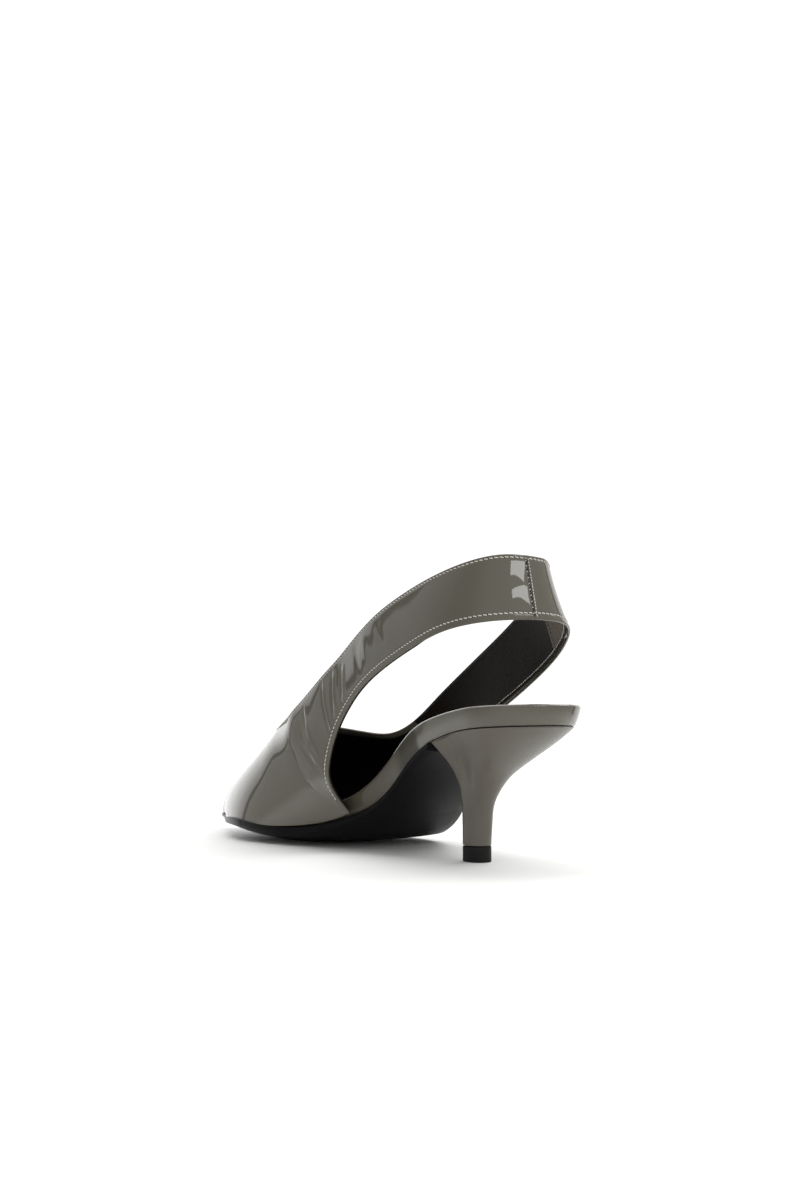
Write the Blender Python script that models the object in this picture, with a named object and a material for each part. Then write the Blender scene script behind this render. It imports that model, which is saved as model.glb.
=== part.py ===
"""Right slingback pump in patent leather, with a pointed toe, an open waist and a kitten heel.

The toe points along -Y, the inner (big toe) side is +X and the floor is Z = 0. The tables are in
millimetres: "forward" runs from the back of the heel seat to the toe, "side" is positive towards
the inner side of the foot, and "height" is measured from the floor.
"""

import bmesh
import bpy
import numpy as np

MM = 0.001

# Place of the origin, at the bottom centre of the shoe's box
CENTRE_FORWARD = 127.0
CENTRE_SIDE = 0.5

# Last bottom
LAST_LENGTH = 251.2
SEAT_RADIUS = 23.5
TOE_RADIUS = 3.4
TOE_SWING = 12.3
SWING_START = 60.0
SWING_POWER = 1.5

# Thicknesses and gaps
GAP = 0.3
UPPER_WALL = 1.8
FEATHER_OUT = UPPER_WALL + 2 * GAP
SEAT_CUP = 0.8
SOCK_THICK = 0.9
RIM_WIDE = 2.9
RIM_HIGH = 1.3
SOLE_WAIST_EDGE = 2.2
SOLE_BACK_SLANT = 1.5
SOLE_BALL_EDGE = 3.5
SOLE_TOE_EDGE = 2.7
SOLE_WAIST_INSET = 0.8
SOLE_WELT_OUT = 0.4

# Heel
HEEL_SEAT_FRONT = 48.0
HEEL_TIP_CENTRE = 49.3
HEEL_TIP_BACK = 5.8
HEEL_TIP_FRONT = 4.2
HEEL_TIP_HALF = 5.0
HEEL_TIP_HIGH = 6.0
HEEL_INSET = 2.0
BREAST_HOLLOW = 0.8

# Mesh steps
ALONG_STEPS = 40
ACROSS_STEPS = 6
UPPER_STEPS_A_ROW = 4
UPPER_ACROSS = 9
HEEL_AROUND = 18
HEEL_LEVELS = 13

# Half widths of the covered board on its inner and outer side, the height of its underside at
# the inner edge, how much lower it lies at the outer edge and along the middle, and the board's
# thickness at its edge.
LAST_COLUMNS = ("forward", "inner", "outer", "height", "drop", "crown", "thickness")
LAST_ROWS = (
    (0.0, 23.5, 24.2, 52.0, 0.0, 0.0, 7.7),
    (20.0, 23.9, 24.5, 50.8, 0.0, 0.0, 7.7),
    (42.0, 23.7, 24.2, 47.3, 0.0, 0.0, 8.0),
    (64.0, 21.6, 22.8, 39.4, 0.0, 0.8, 10.0),
    (86.0, 18.4, 24.0, 26.4, 0.2, 1.6, 10.8),
    (108.0, 18.6, 30.6, 15.9, 0.8, 2.2, 8.6),
    (134.0, 23.4, 35.2, 9.4, 2.2, 2.8, 7.0),
    (160.0, 29.8, 37.0, 7.5, 0.9, 3.2, 4.6),
    (184.0, 30.0, 32.2, 7.2, 0.0, 3.0, 4.3),
    (208.0, 22.6, 23.0, 7.2, 0.0, 2.0, 4.3),
    (231.0, 11.8, 11.4, 7.4, 0.0, 1.0, 4.3),
    (244.0, 5.6, 5.4, 7.7, 0.0, 0.4, 4.3),
    (251.2, 3.0, 3.0, 7.9, 0.0, 0.2, 4.3),
)

# Wall of the covered board: how far each line lies inside the outline, and at what share of the
# board's height.
BOARD_WALL = ((2.5, 0.0), (0.9, 0.12), (0.1, 0.36), (0.0, 0.58), (0.7, 0.82), (2.3, 1.0))

# The vamp, from the inner corner of its rear cut round the toe to the outer corner. "low" is where
# the section leaves the sole, "top" its point on the topline, and "shoulder" the corner that the
# section rounds off, the more tightly the higher its fullness.
VAMP_COLUMNS = (
    "low_forward", "top_side", "top_forward", "top_height",
    "shoulder_side", "shoulder_forward", "shoulder_height", "fullness",
)
VAMP_INNER_ROWS = (
    (110.0, 29.6, 154.0, 54.4, 40.4, 131.0, 29.0, 1.00),
    (138.0, 28.0, 163.0, 51.6, 41.4, 142.0, 27.5, 1.00),
    (164.0, 25.4, 171.5, 49.8, 40.0, 165.0, 31.5, 1.05),
    (189.0, 21.4, 178.8, 49.4, 37.4, 190.0, 26.6, 1.10),
    (211.0, 16.8, 184.4, 49.9, 32.4, 212.8, 22.4, 1.25),
    (230.0, 12.0, 187.4, 50.9, 25.4, 232.2, 20.6, 1.55),
    (244.0, 8.6, 188.6, 51.5, 19.4, 247.2, 19.4, 1.75),
)
VAMP_TIP_ROW = (253.3, 5.4, 189.0, 51.7, 12.6, 256.0, 18.8, 1.80)
VAMP_OUTER_ROWS = (
    (244.0, 2.0, 188.6, 51.6, 4.6, 247.0, 19.4, 1.75),
    (230.0, -1.8, 187.4, 51.2, -4.8, 232.0, 20.6, 1.55),
    (211.0, -7.2, 184.2, 50.3, -17.0, 213.0, 24.6, 1.20),
    (190.0, -13.4, 178.6, 49.0, -30.4, 191.0, 31.0, 1.15),
    (165.0, -19.6, 171.0, 47.5, -39.8, 165.5, 33.0, 1.10),
    (140.0, -24.8, 161.6, 47.0, -45.0, 141.0, 28.0, 1.00),
    (112.0, -28.4, 152.0, 49.9, -42.4, 128.0, 29.0, 1.00),
)


# The sling strap, from the outer corner round the heel to the inner corner. "bulge" is how far its
# section bows out from a straight line.
STRAP_COLUMNS = (
    "low_side", "low_forward", "low_height", "top_side", "top_forward", "top_height", "bulge",
)
STRAP_ROWS = (
    (-33.6, 106.5, 27.0, -30.6, 141.5, 55.8, 4.0),
    (-34.2, 103.5, 36.5, -31.6, 129.5, 63.2, 2.8),
    (-33.8, 97.5, 46.0, -31.8, 115.5, 70.6, 1.8),
    (-33.1, 87.0, 54.3, -31.2, 98.5, 78.6, 1.2),
    (-32.3, 72.0, 61.2, -29.2, 78.0, 87.2, 0.8),
    (-30.8, 52.0, 70.0, -26.0, 56.0, 96.4, 0.6),
    (-27.5, 32.6, 79.0, -20.8, 36.0, 104.6, 0.0),
    (-20.8, 17.0, 86.2, -14.8, 22.2, 110.5, -0.8),
    (-11.6, 8.8, 89.2, -8.0, 14.5, 112.9, -0.4),
    (0.0, 6.1, 89.9, 0.0, 11.8, 113.6, 0.0),
    (12.8, 8.3, 89.6, 10.2, 13.9, 114.0, 0.7),
    (22.9, 16.3, 88.4, 18.5, 21.1, 112.5, 0.9),
    (29.0, 31.6, 85.2, 24.0, 35.6, 108.8, 1.0),
    (31.2, 53.0, 78.4, 26.6, 56.0, 103.1, 1.0),
    (32.3, 74.0, 70.2, 28.9, 79.0, 94.2, 1.0),
    (32.7, 90.0, 60.8, 30.6, 99.5, 82.4, 1.2),
    (32.9, 101.5, 49.8, 31.6, 116.5, 72.5, 1.8),
    (32.8, 108.6, 38.6, 31.7, 131.5, 64.2, 3.0),
    (31.4, 111.2, 27.0, 31.2, 143.5, 58.4, 4.4),
)

# How much of its flare the heel has at each share of its height, at its back and at its breast.
FLARE_ROWS = (
    (0.00, 0.000, 0.000),
    (0.20, 0.020, 0.006),
    (0.35, 0.048, 0.018),
    (0.50, 0.155, 0.060),
    (0.60, 0.272, 0.130),
    (0.70, 0.452, 0.265),
    (0.80, 0.648, 0.460),
    (0.90, 0.838, 0.725),
    (1.00, 1.000, 1.000),
)


def clear_scene():
    for old in list(bpy.data.objects):
        bpy.data.objects.remove(old)


def material(name, colour, roughness, coat=0.0):
    """A plain leather or rubber finish."""
    made = bpy.data.materials.new(name)
    made.use_nodes = True
    shader = made.node_tree.nodes["Principled BSDF"]
    shader.inputs["Base Color"].default_value = (*colour, 1.0)
    shader.inputs["Roughness"].default_value = roughness
    shader.inputs["Coat Weight"].default_value = coat
    return made


def spline(knots, values, at, closed=False):
    """Cubic curve of continuous curvature through the values at the knots.

    A closed curve repeats its first value as its last one."""
    knots = np.asarray(knots, float)
    values = np.asarray(values, float)
    count = len(knots)
    step = np.diff(knots)
    slope = (np.diff(values, axis=0).T / step).T
    system = np.eye(count)
    known = np.zeros(values.shape)
    for i in range(1, count - 1):
        system[i, i - 1:i + 2] = step[i - 1], 2 * (step[i - 1] + step[i]), step[i]
        known[i] = 6 * (slope[i] - slope[i - 1])
    if closed:
        system[0] = 0.0
        system[0, [-2, 0, 1]] = step[-1], 2 * (step[-1] + step[0]), step[0]
        known[0] = 6 * (slope[0] - slope[-1])
        system[-1, 0] = -1.0
    bend = np.linalg.solve(system, known)
    at = np.asarray(at, float)
    low = np.clip(np.searchsorted(knots, at, side="right") - 1, 0, count - 2)
    wide = step[low]
    after = (at - knots[low]) / wide
    before = 1 - after
    shape = at.shape + (1,) * (values.ndim - 1)
    wide, after, before = wide.reshape(shape), after.reshape(shape), before.reshape(shape)
    cubic = (before**3 - before) * bend[low] + (after**3 - after) * bend[low + 1]
    return before * values[low] + after * values[low + 1] + cubic * wide**2 / 6


def last(column, forward):
    """A column of the table of the last's bottom, at any distance forward."""
    rows = np.array(LAST_ROWS)
    return spline(rows[:, 0], rows[:, LAST_COLUMNS.index(column)], forward)


def centre_line(forward):
    """Side of the middle of the last's bottom, which leans inwards towards the toe."""
    share = np.clip((forward - SWING_START) / (LAST_LENGTH - SWING_START), 0.0, None)
    return TOE_SWING * share**SWING_POWER


def half_width(column, forward, inset=0.0):
    """Half width of the last's bottom, moved in by the inset and rounded off at both ends."""
    at_seat = np.clip((forward - inset) / (SEAT_RADIUS - inset), 0.0, 1.0)
    at_toe = np.clip((LAST_LENGTH - inset - forward) / (TOE_RADIUS - inset), 0.0, 1.0)
    rounded = np.sqrt(1 - (1 - at_seat)**2) * np.sqrt(1 - (1 - at_toe)**2)
    return (last(column, forward) - inset) * rounded


def share_across(forward, side):
    """0 on the centre line, and 1 or more at and outside the edge of the last's bottom."""
    offset = side - centre_line(forward)
    inner = np.maximum(half_width("inner", forward), 1.0)
    outer = np.maximum(half_width("outer", forward), 1.0)
    return np.clip(np.abs(offset) / np.where(offset > 0, inner, outer), 0.0, 1.0)


def stations(start, end, steps=ALONG_STEPS):
    """Distances forward that lie closer together near both ends."""
    return start + (end - start) * (1 - np.cos(np.linspace(0, np.pi, steps + 1))) / 2


def bottom(forward, side):
    """Height of the last's bottom edge, which lies lower on the outer side at the ball."""
    offset = side - centre_line(forward)
    outwards = 0.5 - 0.5 * np.sign(offset) * share_across(forward, side)
    return last("height", forward) - last("drop", forward) * outwards


def board_under(forward, side):
    """Height of the covered board's underside."""
    crown = last("crown", forward) * (1 - share_across(forward, side)**2)
    return bottom(forward, side) - crown


def board_top(forward, side):
    """Height of the covered board's top inside its rim, slightly cupped under the heel."""
    cup = SEAT_CUP * np.clip(1.3 - forward / 90.0, 0.3, 1.0)
    hollow = cup * (1 - share_across(forward, side)**2)
    return bottom(forward, side) + last("thickness", forward) - RIM_HIGH - hollow


def sole_edge(forward):
    """Thickness of the outsole at its edge."""
    places = (48.0, 100.0, 135.0, 185.0, LAST_LENGTH)
    sizes = (SOLE_WAIST_EDGE, SOLE_WAIST_EDGE, SOLE_BALL_EDGE, SOLE_BALL_EDGE, SOLE_TOE_EDGE)
    return np.interp(forward, places, sizes)


def place(side, forward, height):
    """Points of the part's own frame, in metres."""
    side, forward, height = np.broadcast_arrays(side, forward, height)
    points = np.stack((side - CENTRE_SIDE, CENTRE_FORWARD - forward, height), axis=-1)
    return points * MM


def grid_faces(rows, columns, wrap_rows=False):
    """Four-sided faces of a grid of points, closed round its columns."""
    first = np.arange(rows if wrap_rows else rows - 1)[:, None]
    column = np.arange(columns)[None, :]
    following = (first + 1) % rows
    beside = (column + 1) % columns
    corners = (
        first * columns + column, first * columns + beside,
        following * columns + beside, following * columns + column,
    )
    return [tuple(face) for face in np.stack(corners, axis=-1).reshape(-1, 4).tolist()]


def strip_cap(ring, start):
    """Faces across a ring of an even number of points, from each point to the one opposite."""
    half = ring // 2
    faces = [(start, start + 1, start + ring - 1)]
    for i in range(1, half - 1):
        faces.append((start + i, start + i + 1, start + ring - i - 1, start + ring - i))
    faces.append((start + half - 1, start + half, start + half + 1))
    return faces


def solid(name, points, faces, finish, sharp_deg=38.0):
    """One closed mesh object, with its doubled points merged and its faces pointing out."""
    mesh = bpy.data.meshes.new(name)
    mesh.from_pydata(np.asarray(points).reshape(-1, 3).tolist(), [], faces)
    work = bmesh.new()
    work.from_mesh(mesh)
    bmesh.ops.remove_doubles(work, verts=work.verts, dist=2e-6)
    bmesh.ops.dissolve_degenerate(work, edges=work.edges, dist=1e-6)
    bmesh.ops.recalc_face_normals(work, faces=work.faces)
    work.to_mesh(mesh)
    work.free()
    mesh.materials.append(finish)
    mesh.shade_smooth()
    mesh.set_sharp_from_angle(angle=np.radians(sharp_deg))
    made = bpy.data.objects.new(name, mesh)
    bpy.context.scene.collection.objects.link(made)
    return made


def edge_line(start, end, inset):
    """(forward, inner side, outer side) of the last's bottom outline, moved in by the inset."""
    forward = stations(start, end)
    middle = centre_line(forward)
    inner = middle + half_width("inner", forward, inset)
    outer = middle - half_width("outer", forward, inset)
    return forward, inner, outer


def across(line):
    """Sides that step from the inner to the outer edge of an outline, without the edges."""
    forward, inner, outer = line
    share = np.linspace(0, 1, ACROSS_STEPS + 1)[1:-1]
    return inner[:, None] + (outer - inner)[:, None] * share


def section_grid(wall, top_line, top_height, low_line, low_height):
    """Cross-sections, one to a row: up the inner wall, over the top, down the outer wall and back.

    A wall line is (outline, function that gives the height at a place)."""
    up = [place(line[1], line[0], high(line[0], line[1])) for line, high in wall]
    down = [place(line[2], line[0], high(line[0], line[2])) for line, high in wall[::-1]]
    top_side = across(top_line)
    low_side = across(low_line)[:, ::-1]
    forward = top_line[0][:, None]
    low_forward = low_line[0][:, None]
    top = place(top_side, forward, top_height(forward, top_side))
    low = place(low_side, low_forward, low_height(low_forward, low_side))
    return np.concatenate(
        [np.stack(up, 1), top, np.stack(down, 1), low], axis=1
    )


def insole_board(finish):
    """The insole board with its heel rand: patent leather wrapped over the edge."""
    def at_share(share):
        return lambda along, side: bottom(along, side) + last("thickness", along) * share

    wall = []
    for inset, share in BOARD_WALL:
        line = edge_line(inset, LAST_LENGTH - inset, inset)
        wall.append((line, at_share(share)))
    seat = edge_line(RIM_WIDE, LAST_LENGTH - RIM_WIDE, RIM_WIDE)
    wall.append((seat, board_top))
    grid = section_grid(wall, seat, board_top, wall[0][0], board_under)
    return solid("insole_board", grid, grid_faces(*grid.shape[:2]), finish)


def insole_sock(finish):
    """The thin leather sock lining that lies inside the board's rim."""
    inset = RIM_WIDE + GAP
    line = edge_line(inset, LAST_LENGTH - inset, inset)

    def under(forward, side):
        return board_top(forward, side) + GAP

    def top(forward, side):
        return under(forward, side) + SOCK_THICK

    forward, inner, outer = line
    low = place(inner, forward, under(forward, inner)), place(outer, forward, under(forward, outer))
    high = place(inner, forward, top(forward, inner)), place(outer, forward, top(forward, outer))
    side = across(line)
    over = place(side, forward[:, None], top(forward[:, None], side))
    back = place(side, forward[:, None], under(forward[:, None], side))[:, ::-1]
    edges = [low[0][:, None], high[0][:, None], over, high[1][:, None], low[1][:, None], back]
    grid = np.concatenate(edges, axis=1)
    return solid("insole_sock", grid, grid_faces(*grid.shape[:2]), finish)


def sole_line(back, inset):
    """Outline of the outsole: inside the board at the waist, just outside the upper in front."""
    reach = FEATHER_OUT + SOLE_WELT_OUT - inset
    end = LAST_LENGTH + reach
    forward = stations(back, end)
    out = np.interp(forward, (100.0, 130.0), (-SOLE_WAIST_INSET - inset, reach))
    at_toe = np.clip((end - forward) / (TOE_RADIUS + reach), 0.0, 1.0)
    rounded = np.sqrt(1 - (1 - at_toe)**2)
    middle = centre_line(forward)
    inner = middle + (last("inner", np.minimum(forward, LAST_LENGTH)) + out) * rounded
    outer = middle - (last("outer", np.minimum(forward, LAST_LENGTH)) + out) * rounded
    return forward, inner, outer


def outsole(finish):
    """The leather outsole, from the heel's breast to the toe, crowned from side to side.

    The middle of its ball is flat on the floor."""
    back = HEEL_SEAT_FRONT + 3 * GAP
    edge = sole_line(back, 0.0)
    under_edge = sole_line(back + SOLE_BACK_SLANT, 0.5)
    forward = edge[0]

    def top(along, side):
        return board_under(np.minimum(along, LAST_LENGTH), side) - GAP

    def under(along, side):
        middle = centre_line(along)
        inner = np.interp(along, forward, edge[1]) - middle
        outer = middle - np.interp(along, forward, edge[2])
        offset = side - middle
        half = np.maximum(np.where(offset > 0, inner, outer), 1.0)
        share = np.clip(np.abs(offset) / half, 0.0, 1.0)
        crown = np.interp(along, (50, 110, 140, 165, 190, 225, 257), (1.6, 2.4, 2.4, 4.0, 4.2, 2.2, 0.6))
        edge_low = bottom(np.minimum(along, LAST_LENGTH), side) - GAP - sole_edge(along)
        return np.maximum(edge_low - crown * (1 - share**2), 0.0)

    wall = [
        (under_edge, under),
        (edge, lambda along, side: under(along, side) + 0.6),
        (edge, top),
    ]
    grid = section_grid(wall, edge, top, under_edge, under)
    rows, ring = grid.shape[:2]
    faces = grid_faces(rows, ring) + [tuple(range(ring))]
    return solid("outsole", grid, faces, finish)


def heel_outline(inset):
    """The heel's top outline, from the middle of its back round to the middle of its breast."""
    round_end = stations(inset, HEEL_SEAT_FRONT, HEEL_AROUND)
    half = half_width("inner", round_end, inset)
    sides = np.stack((half, round_end), axis=-1)
    steps = 5
    share = np.linspace(1, 0, steps + 1)[1:]
    breast = HEEL_SEAT_FRONT - BREAST_HOLLOW * (1 - share**2)
    front = np.stack((share * half[-1], breast), axis=-1)
    return np.concatenate((sides, front))


def tip_outline(outline):
    """The heel tip's outline, with one point for each of the heel's top outline."""
    back_points = HEEL_AROUND + 1
    turn = np.linspace(0, np.pi / 2, back_points - 4)
    rounded = np.stack(
        (HEEL_TIP_HALF * np.sin(turn), HEEL_TIP_CENTRE - HEEL_TIP_BACK * np.cos(turn)), axis=-1
    )
    corner_share = np.linspace(0, 1, 5)[1:]
    corner = np.stack(
        (
            HEEL_TIP_HALF * (1 - 0.16 * corner_share**3),
            HEEL_TIP_CENTRE + (HEEL_TIP_FRONT - 0.3) * corner_share,
        ),
        axis=-1,
    )
    front_points = len(outline) - back_points
    share = np.linspace(1, 0, front_points + 1)[1:]
    front_half = corner[-1, 0]
    front = np.stack(
        (front_half * share, HEEL_TIP_CENTRE + HEEL_TIP_FRONT - 0.3 * share**2), axis=-1
    )
    return np.concatenate((rounded, corner, front))


def full_ring(half_ring):
    """A closed ring from its inner half, whose first and last points lie on the middle."""
    other = half_ring[-2:0:-1] * np.array((-1.0, 1.0))
    return np.concatenate((half_ring, other))


def heel(finish):
    """The covered kitten heel: a flared seat that runs down to a slim D-shaped column."""
    top = heel_outline(HEEL_INSET)
    tip = tip_outline(top)
    flare = np.array(FLARE_ROWS)
    seat = full_ring(top)
    foot = full_ring(tip)
    frontness = np.clip((seat[:, 1] / HEEL_SEAT_FRONT - 0.25) / 0.6, 0.0, 1.0)
    frontness = frontness**2 * (3 - 2 * frontness)
    top_height = bottom(seat[:, 1], seat[:, 0]) - GAP
    base = HEEL_TIP_HIGH + GAP
    rings = []
    for share in np.linspace(0, 1, HEEL_LEVELS) ** 0.85:
        back = spline(flare[:, 0], flare[:, 1], np.full(1, share))[0]
        breast = spline(flare[:, 0], flare[:, 2], np.full(1, share))[0]
        grown = (back * (1 - frontness) + breast * frontness)[:, None]
        plan = foot + (seat - foot) * grown
        rings.append(place(plan[:, 0], plan[:, 1], base + (top_height - base) * share))
    grid = np.stack(rings)
    levels, ring = grid.shape[:2]
    faces = grid_faces(levels, ring)
    faces += strip_cap(ring, 0) + strip_cap(ring, (levels - 1) * ring)
    return solid("heel", grid, faces, finish, 50.0)


def heel_tip(finish):
    """The rubber top piece under the heel's column, flat on the floor."""
    ring = full_ring(tip_outline(heel_outline(HEEL_INSET)))
    middle = np.array((0.0, HEEL_TIP_CENTRE))
    levels = ((0.0, 0.965), (0.5, 1.0), (HEEL_TIP_HIGH - 0.2, 1.0), (HEEL_TIP_HIGH, 0.98))
    rings = []
    for height, grown in levels:
        plan = middle + (ring - middle) * grown
        rings.append(place(plan[:, 0], plan[:, 1], height))
    grid = np.stack(rings)
    count, size = grid.shape[:2]
    faces = grid_faces(count, size) + strip_cap(size, 0) + strip_cap(size, (count - 1) * size)
    return solid("heel_tip", grid, faces, finish)


def feather_outline():
    """The upper's outer edge on the sole, from the inner side round the toe to the outer side."""
    out = FEATHER_OUT
    end = LAST_LENGTH + out
    forward = np.concatenate((np.linspace(100, 225, 126), stations(225.0, end, 400)[200:]))
    forward = np.unique(np.clip(forward, 100, end))
    at_toe = np.clip((end - forward) / (TOE_RADIUS + out), 0.0, 1.0)
    rounded = np.sqrt(1 - (1 - at_toe)**2)
    middle = centre_line(forward)
    inside = np.minimum(forward, LAST_LENGTH)
    inner = middle + (last("inner", inside) + out) * rounded
    outer = middle - (last("outer", inside) + out) * rounded
    there = np.stack((inner, forward), axis=-1)
    back = np.stack((outer, forward), axis=-1)[-2::-1]
    line = np.concatenate((there, back))
    length = np.concatenate(([0.0], np.cumsum(np.linalg.norm(np.diff(line, axis=0), axis=1))))
    return line, length, len(forward) - 1


def vamp_low(steps):
    """The vamp's points on the sole, stepped from one row of its table to the next."""
    line, length, tip = feather_outline()
    inner_length = np.interp([row[0] for row in VAMP_INNER_ROWS], line[:tip, 1], length[:tip])
    outer_forward = line[tip:, 1][::-1]
    outer_length = length[tip:][::-1]
    outer = np.interp([row[0] for row in VAMP_OUTER_ROWS], outer_forward, outer_length)
    knots = np.concatenate((inner_length, [length[tip]], outer))
    rows = np.arange(len(knots))
    at = np.linspace(0, len(knots) - 1, (len(knots) - 1) * steps + 1)
    reached = spline(rows, knots, at)
    side = np.interp(reached, length, line[:, 0])
    forward = np.interp(reached, length, line[:, 1])
    height = bottom(np.minimum(forward, LAST_LENGTH), side)
    return np.stack((side, forward, height), axis=-1)


def upper_lines():
    """Low edge, shoulder, topline and fullness of the upper's sections, all round the shoe."""
    vamp = np.array(VAMP_INNER_ROWS + (VAMP_TIP_ROW,) + VAMP_OUTER_ROWS)
    strap = np.array(STRAP_ROWS)
    steps = UPPER_STEPS_A_ROW
    vamp_edge = vamp_low(steps)
    ends = np.stack((vamp_edge[-1], vamp_edge[0]))
    strap_low = np.concatenate((ends[:1], strap[:, :3], ends[1:]))
    strap_at = np.linspace(0, len(strap_low) - 1, (len(strap_low) - 1) * steps + 1)
    strap_edge = spline(np.arange(len(strap_low)), strap_low, strap_at)
    low = np.concatenate((vamp_edge[:-1], strap_edge[:-1]))

    top_rows = np.concatenate((vamp[:, 1:4], strap[:, 3:6]))
    middle = (strap[:, :3] + strap[:, 3:6]) / 2
    beside = np.concatenate(((ends[:1] + vamp[-1:, 1:4]) / 2, middle, (ends[1:] + vamp[:1, 1:4]) / 2))
    along = beside[2:] - beside[:-2]
    outward = np.stack((along[:, 1], -along[:, 0], np.zeros(len(along))), axis=-1)
    outward /= np.linalg.norm(outward, axis=1)[:, None]
    shoulder_rows = np.concatenate((vamp[:, 4:7], middle + 2 * strap[:, 6:7] * outward))
    fullness_rows = np.concatenate((vamp[:, 7:8], np.ones((len(strap), 1))))
    rows = np.concatenate((top_rows, shoulder_rows, fullness_rows), axis=1)
    closed_rows = np.concatenate((rows, rows[:1]))
    at = np.arange(len(low)) / steps
    made = spline(np.arange(len(closed_rows)), closed_rows, at, closed=True)
    return low, made[:, 3:6], made[:, :3], made[:, 6:7]


def upper(finish):
    """The vamp and its sling strap, cut in one: a loft of conic sections with a real wall."""
    low, shoulder, top, fullness = upper_lines()
    share = np.linspace(0, 1, UPPER_ACROSS + 1)[None, :, None]
    weight = 2 * share * (1 - share) * fullness[:, None]
    total = (1 - share)**2 + weight + share**2
    outer = ((1 - share)**2 * low[:, None] + weight * shoulder[:, None] + share**2 * top[:, None])
    outer = outer / total
    round_way = np.roll(outer, -1, axis=0) - np.roll(outer, 1, axis=0)
    up_way = np.gradient(outer, axis=1)
    normal = np.cross(round_way, up_way)
    normal /= np.linalg.norm(normal, axis=-1, keepdims=True)
    inner = outer - normal * UPPER_WALL
    ring = np.concatenate((outer, inner[:, ::-1]), axis=1)
    grid = place(ring[..., 0], ring[..., 1], ring[..., 2])
    rows, columns = grid.shape[:2]
    return solid("upper", grid, grid_faces(rows, columns, wrap_rows=True), finish)


def main():
    clear_scene()
    patent = material("patent_leather", (0.125, 0.119, 0.104), 0.12, 1.0)
    lining = material("black_sock_leather", (0.012, 0.011, 0.010), 0.5)
    sole_leather = material("black_sole_leather", (0.014, 0.014, 0.017), 0.35)
    rubber = material("black_rubber", (0.016, 0.016, 0.016), 0.55)
    upper(patent)
    insole_board(patent)
    insole_sock(lining)
    outsole(sole_leather)
    heel(patent)
    heel_tip(rubber)


main()
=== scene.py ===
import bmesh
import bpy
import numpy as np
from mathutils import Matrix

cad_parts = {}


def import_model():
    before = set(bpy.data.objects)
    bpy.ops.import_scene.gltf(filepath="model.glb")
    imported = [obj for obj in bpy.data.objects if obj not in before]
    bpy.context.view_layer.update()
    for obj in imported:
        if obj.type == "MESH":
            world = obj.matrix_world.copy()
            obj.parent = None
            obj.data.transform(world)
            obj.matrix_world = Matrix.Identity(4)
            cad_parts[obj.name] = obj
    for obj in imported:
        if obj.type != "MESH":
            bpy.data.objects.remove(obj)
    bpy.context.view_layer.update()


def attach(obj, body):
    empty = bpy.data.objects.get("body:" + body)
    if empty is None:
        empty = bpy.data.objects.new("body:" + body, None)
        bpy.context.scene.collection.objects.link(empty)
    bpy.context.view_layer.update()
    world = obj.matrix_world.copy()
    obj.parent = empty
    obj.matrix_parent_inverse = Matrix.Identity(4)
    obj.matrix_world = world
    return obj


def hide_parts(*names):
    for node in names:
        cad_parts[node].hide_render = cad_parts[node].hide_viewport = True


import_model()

# Right slingback pump in olive grey patent leather: the finish of every surface.
#
# The tables are in millimetres, in the shoe's own directions: "forward" runs from the back of the
# heel seat to the toe, "side" is positive towards the inner side of the foot, and "height" is
# measured from the floor. In the frame the toe points along -Y and the inner side is +X.

MM = 0.001

# Place of the frame's origin, at the bottom centre of the shoe's box
CENTRE_FORWARD = 127.0
CENTRE_SIDE = 0.5

# Last bottom
LAST_LENGTH = 251.2
SEAT_RADIUS = 23.5
TOE_RADIUS = 3.4
TOE_SWING = 12.3
SWING_START = 60.0
SWING_POWER = 1.5

# Thicknesses and gaps of the solids
GAP = 0.3
UPPER_WALL = 1.8
FEATHER_OUT = UPPER_WALL + 2 * GAP
SEAT_CUP = 0.8
SOCK_THICK = 0.9
RIM_WIDE = 2.9
RIM_HIGH = 1.3
SOLE_BACK_SLANT = 1.5
SOLE_WAIST_INSET = 0.8
SOLE_WAIST_END = 100.0
SOLE_BALL_START = 130.0
SOLE_WELT_OUT = 0.4
SOLE_TOE_TUCK = 0.2
SOLE_LIP_OUT = 0.4
SOLE_LIP_RISES = (160.0, 185.0)
SOLE_LIP_FALLS = (205.0, 230.0)
BURNISH_START = 152.0
BURNISH_FULL = 177.0
BURNISH_GLOSS = 0.3
HEEL_SEAT_FRONT = 48.0
HEEL_TIP_CENTRE = 49.3
HEEL_TIP_BACK = 5.8
HEEL_TIP_FRONT = 4.2
HEEL_TIP_HALF = 5.0
HEEL_TIP_HIGH = 6.0
HEEL_INSET = 2.0
BREAST_HOLLOW = 0.8

# The upper's layers: the patent leather with its folded edge, and the lining inside it
PATENT_THICK = 1.0
LINING_THICK = 0.8
THROAT_FOLD = 2.8
TOP_STITCH_INSET = 1.35
LOW_STITCH_INSET = 2.5
GROOVE_DEEP = 0.14
GROOVE_WIDE = 0.40

# Stitching
STITCH_PITCH = 1.9
STITCH_LONG = 1.85
STITCH_WIDE = 0.48
STITCH_DIP = 0.2
BACK_SEAM_LOW_ROW = 24.20
BACK_SEAM_TOP_ROW = 24.28
BACK_SEAM_PITCH = 1.15
BACK_SEAM_DEEP = 0.4
BACK_SEAM_HALF_ROWS = 0.035
BACK_SEAM_FLECK_ROWS = (-0.052, 0.05)
STRAP_STITCH_ROWS = (14.35, 33.65)
LINING_STITCH_ROWS = (15.0, 33.4)
GRIP_STITCH_REACH = (3.2, 21.5)
GRIP_STITCH_PITCH = 1.5

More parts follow.
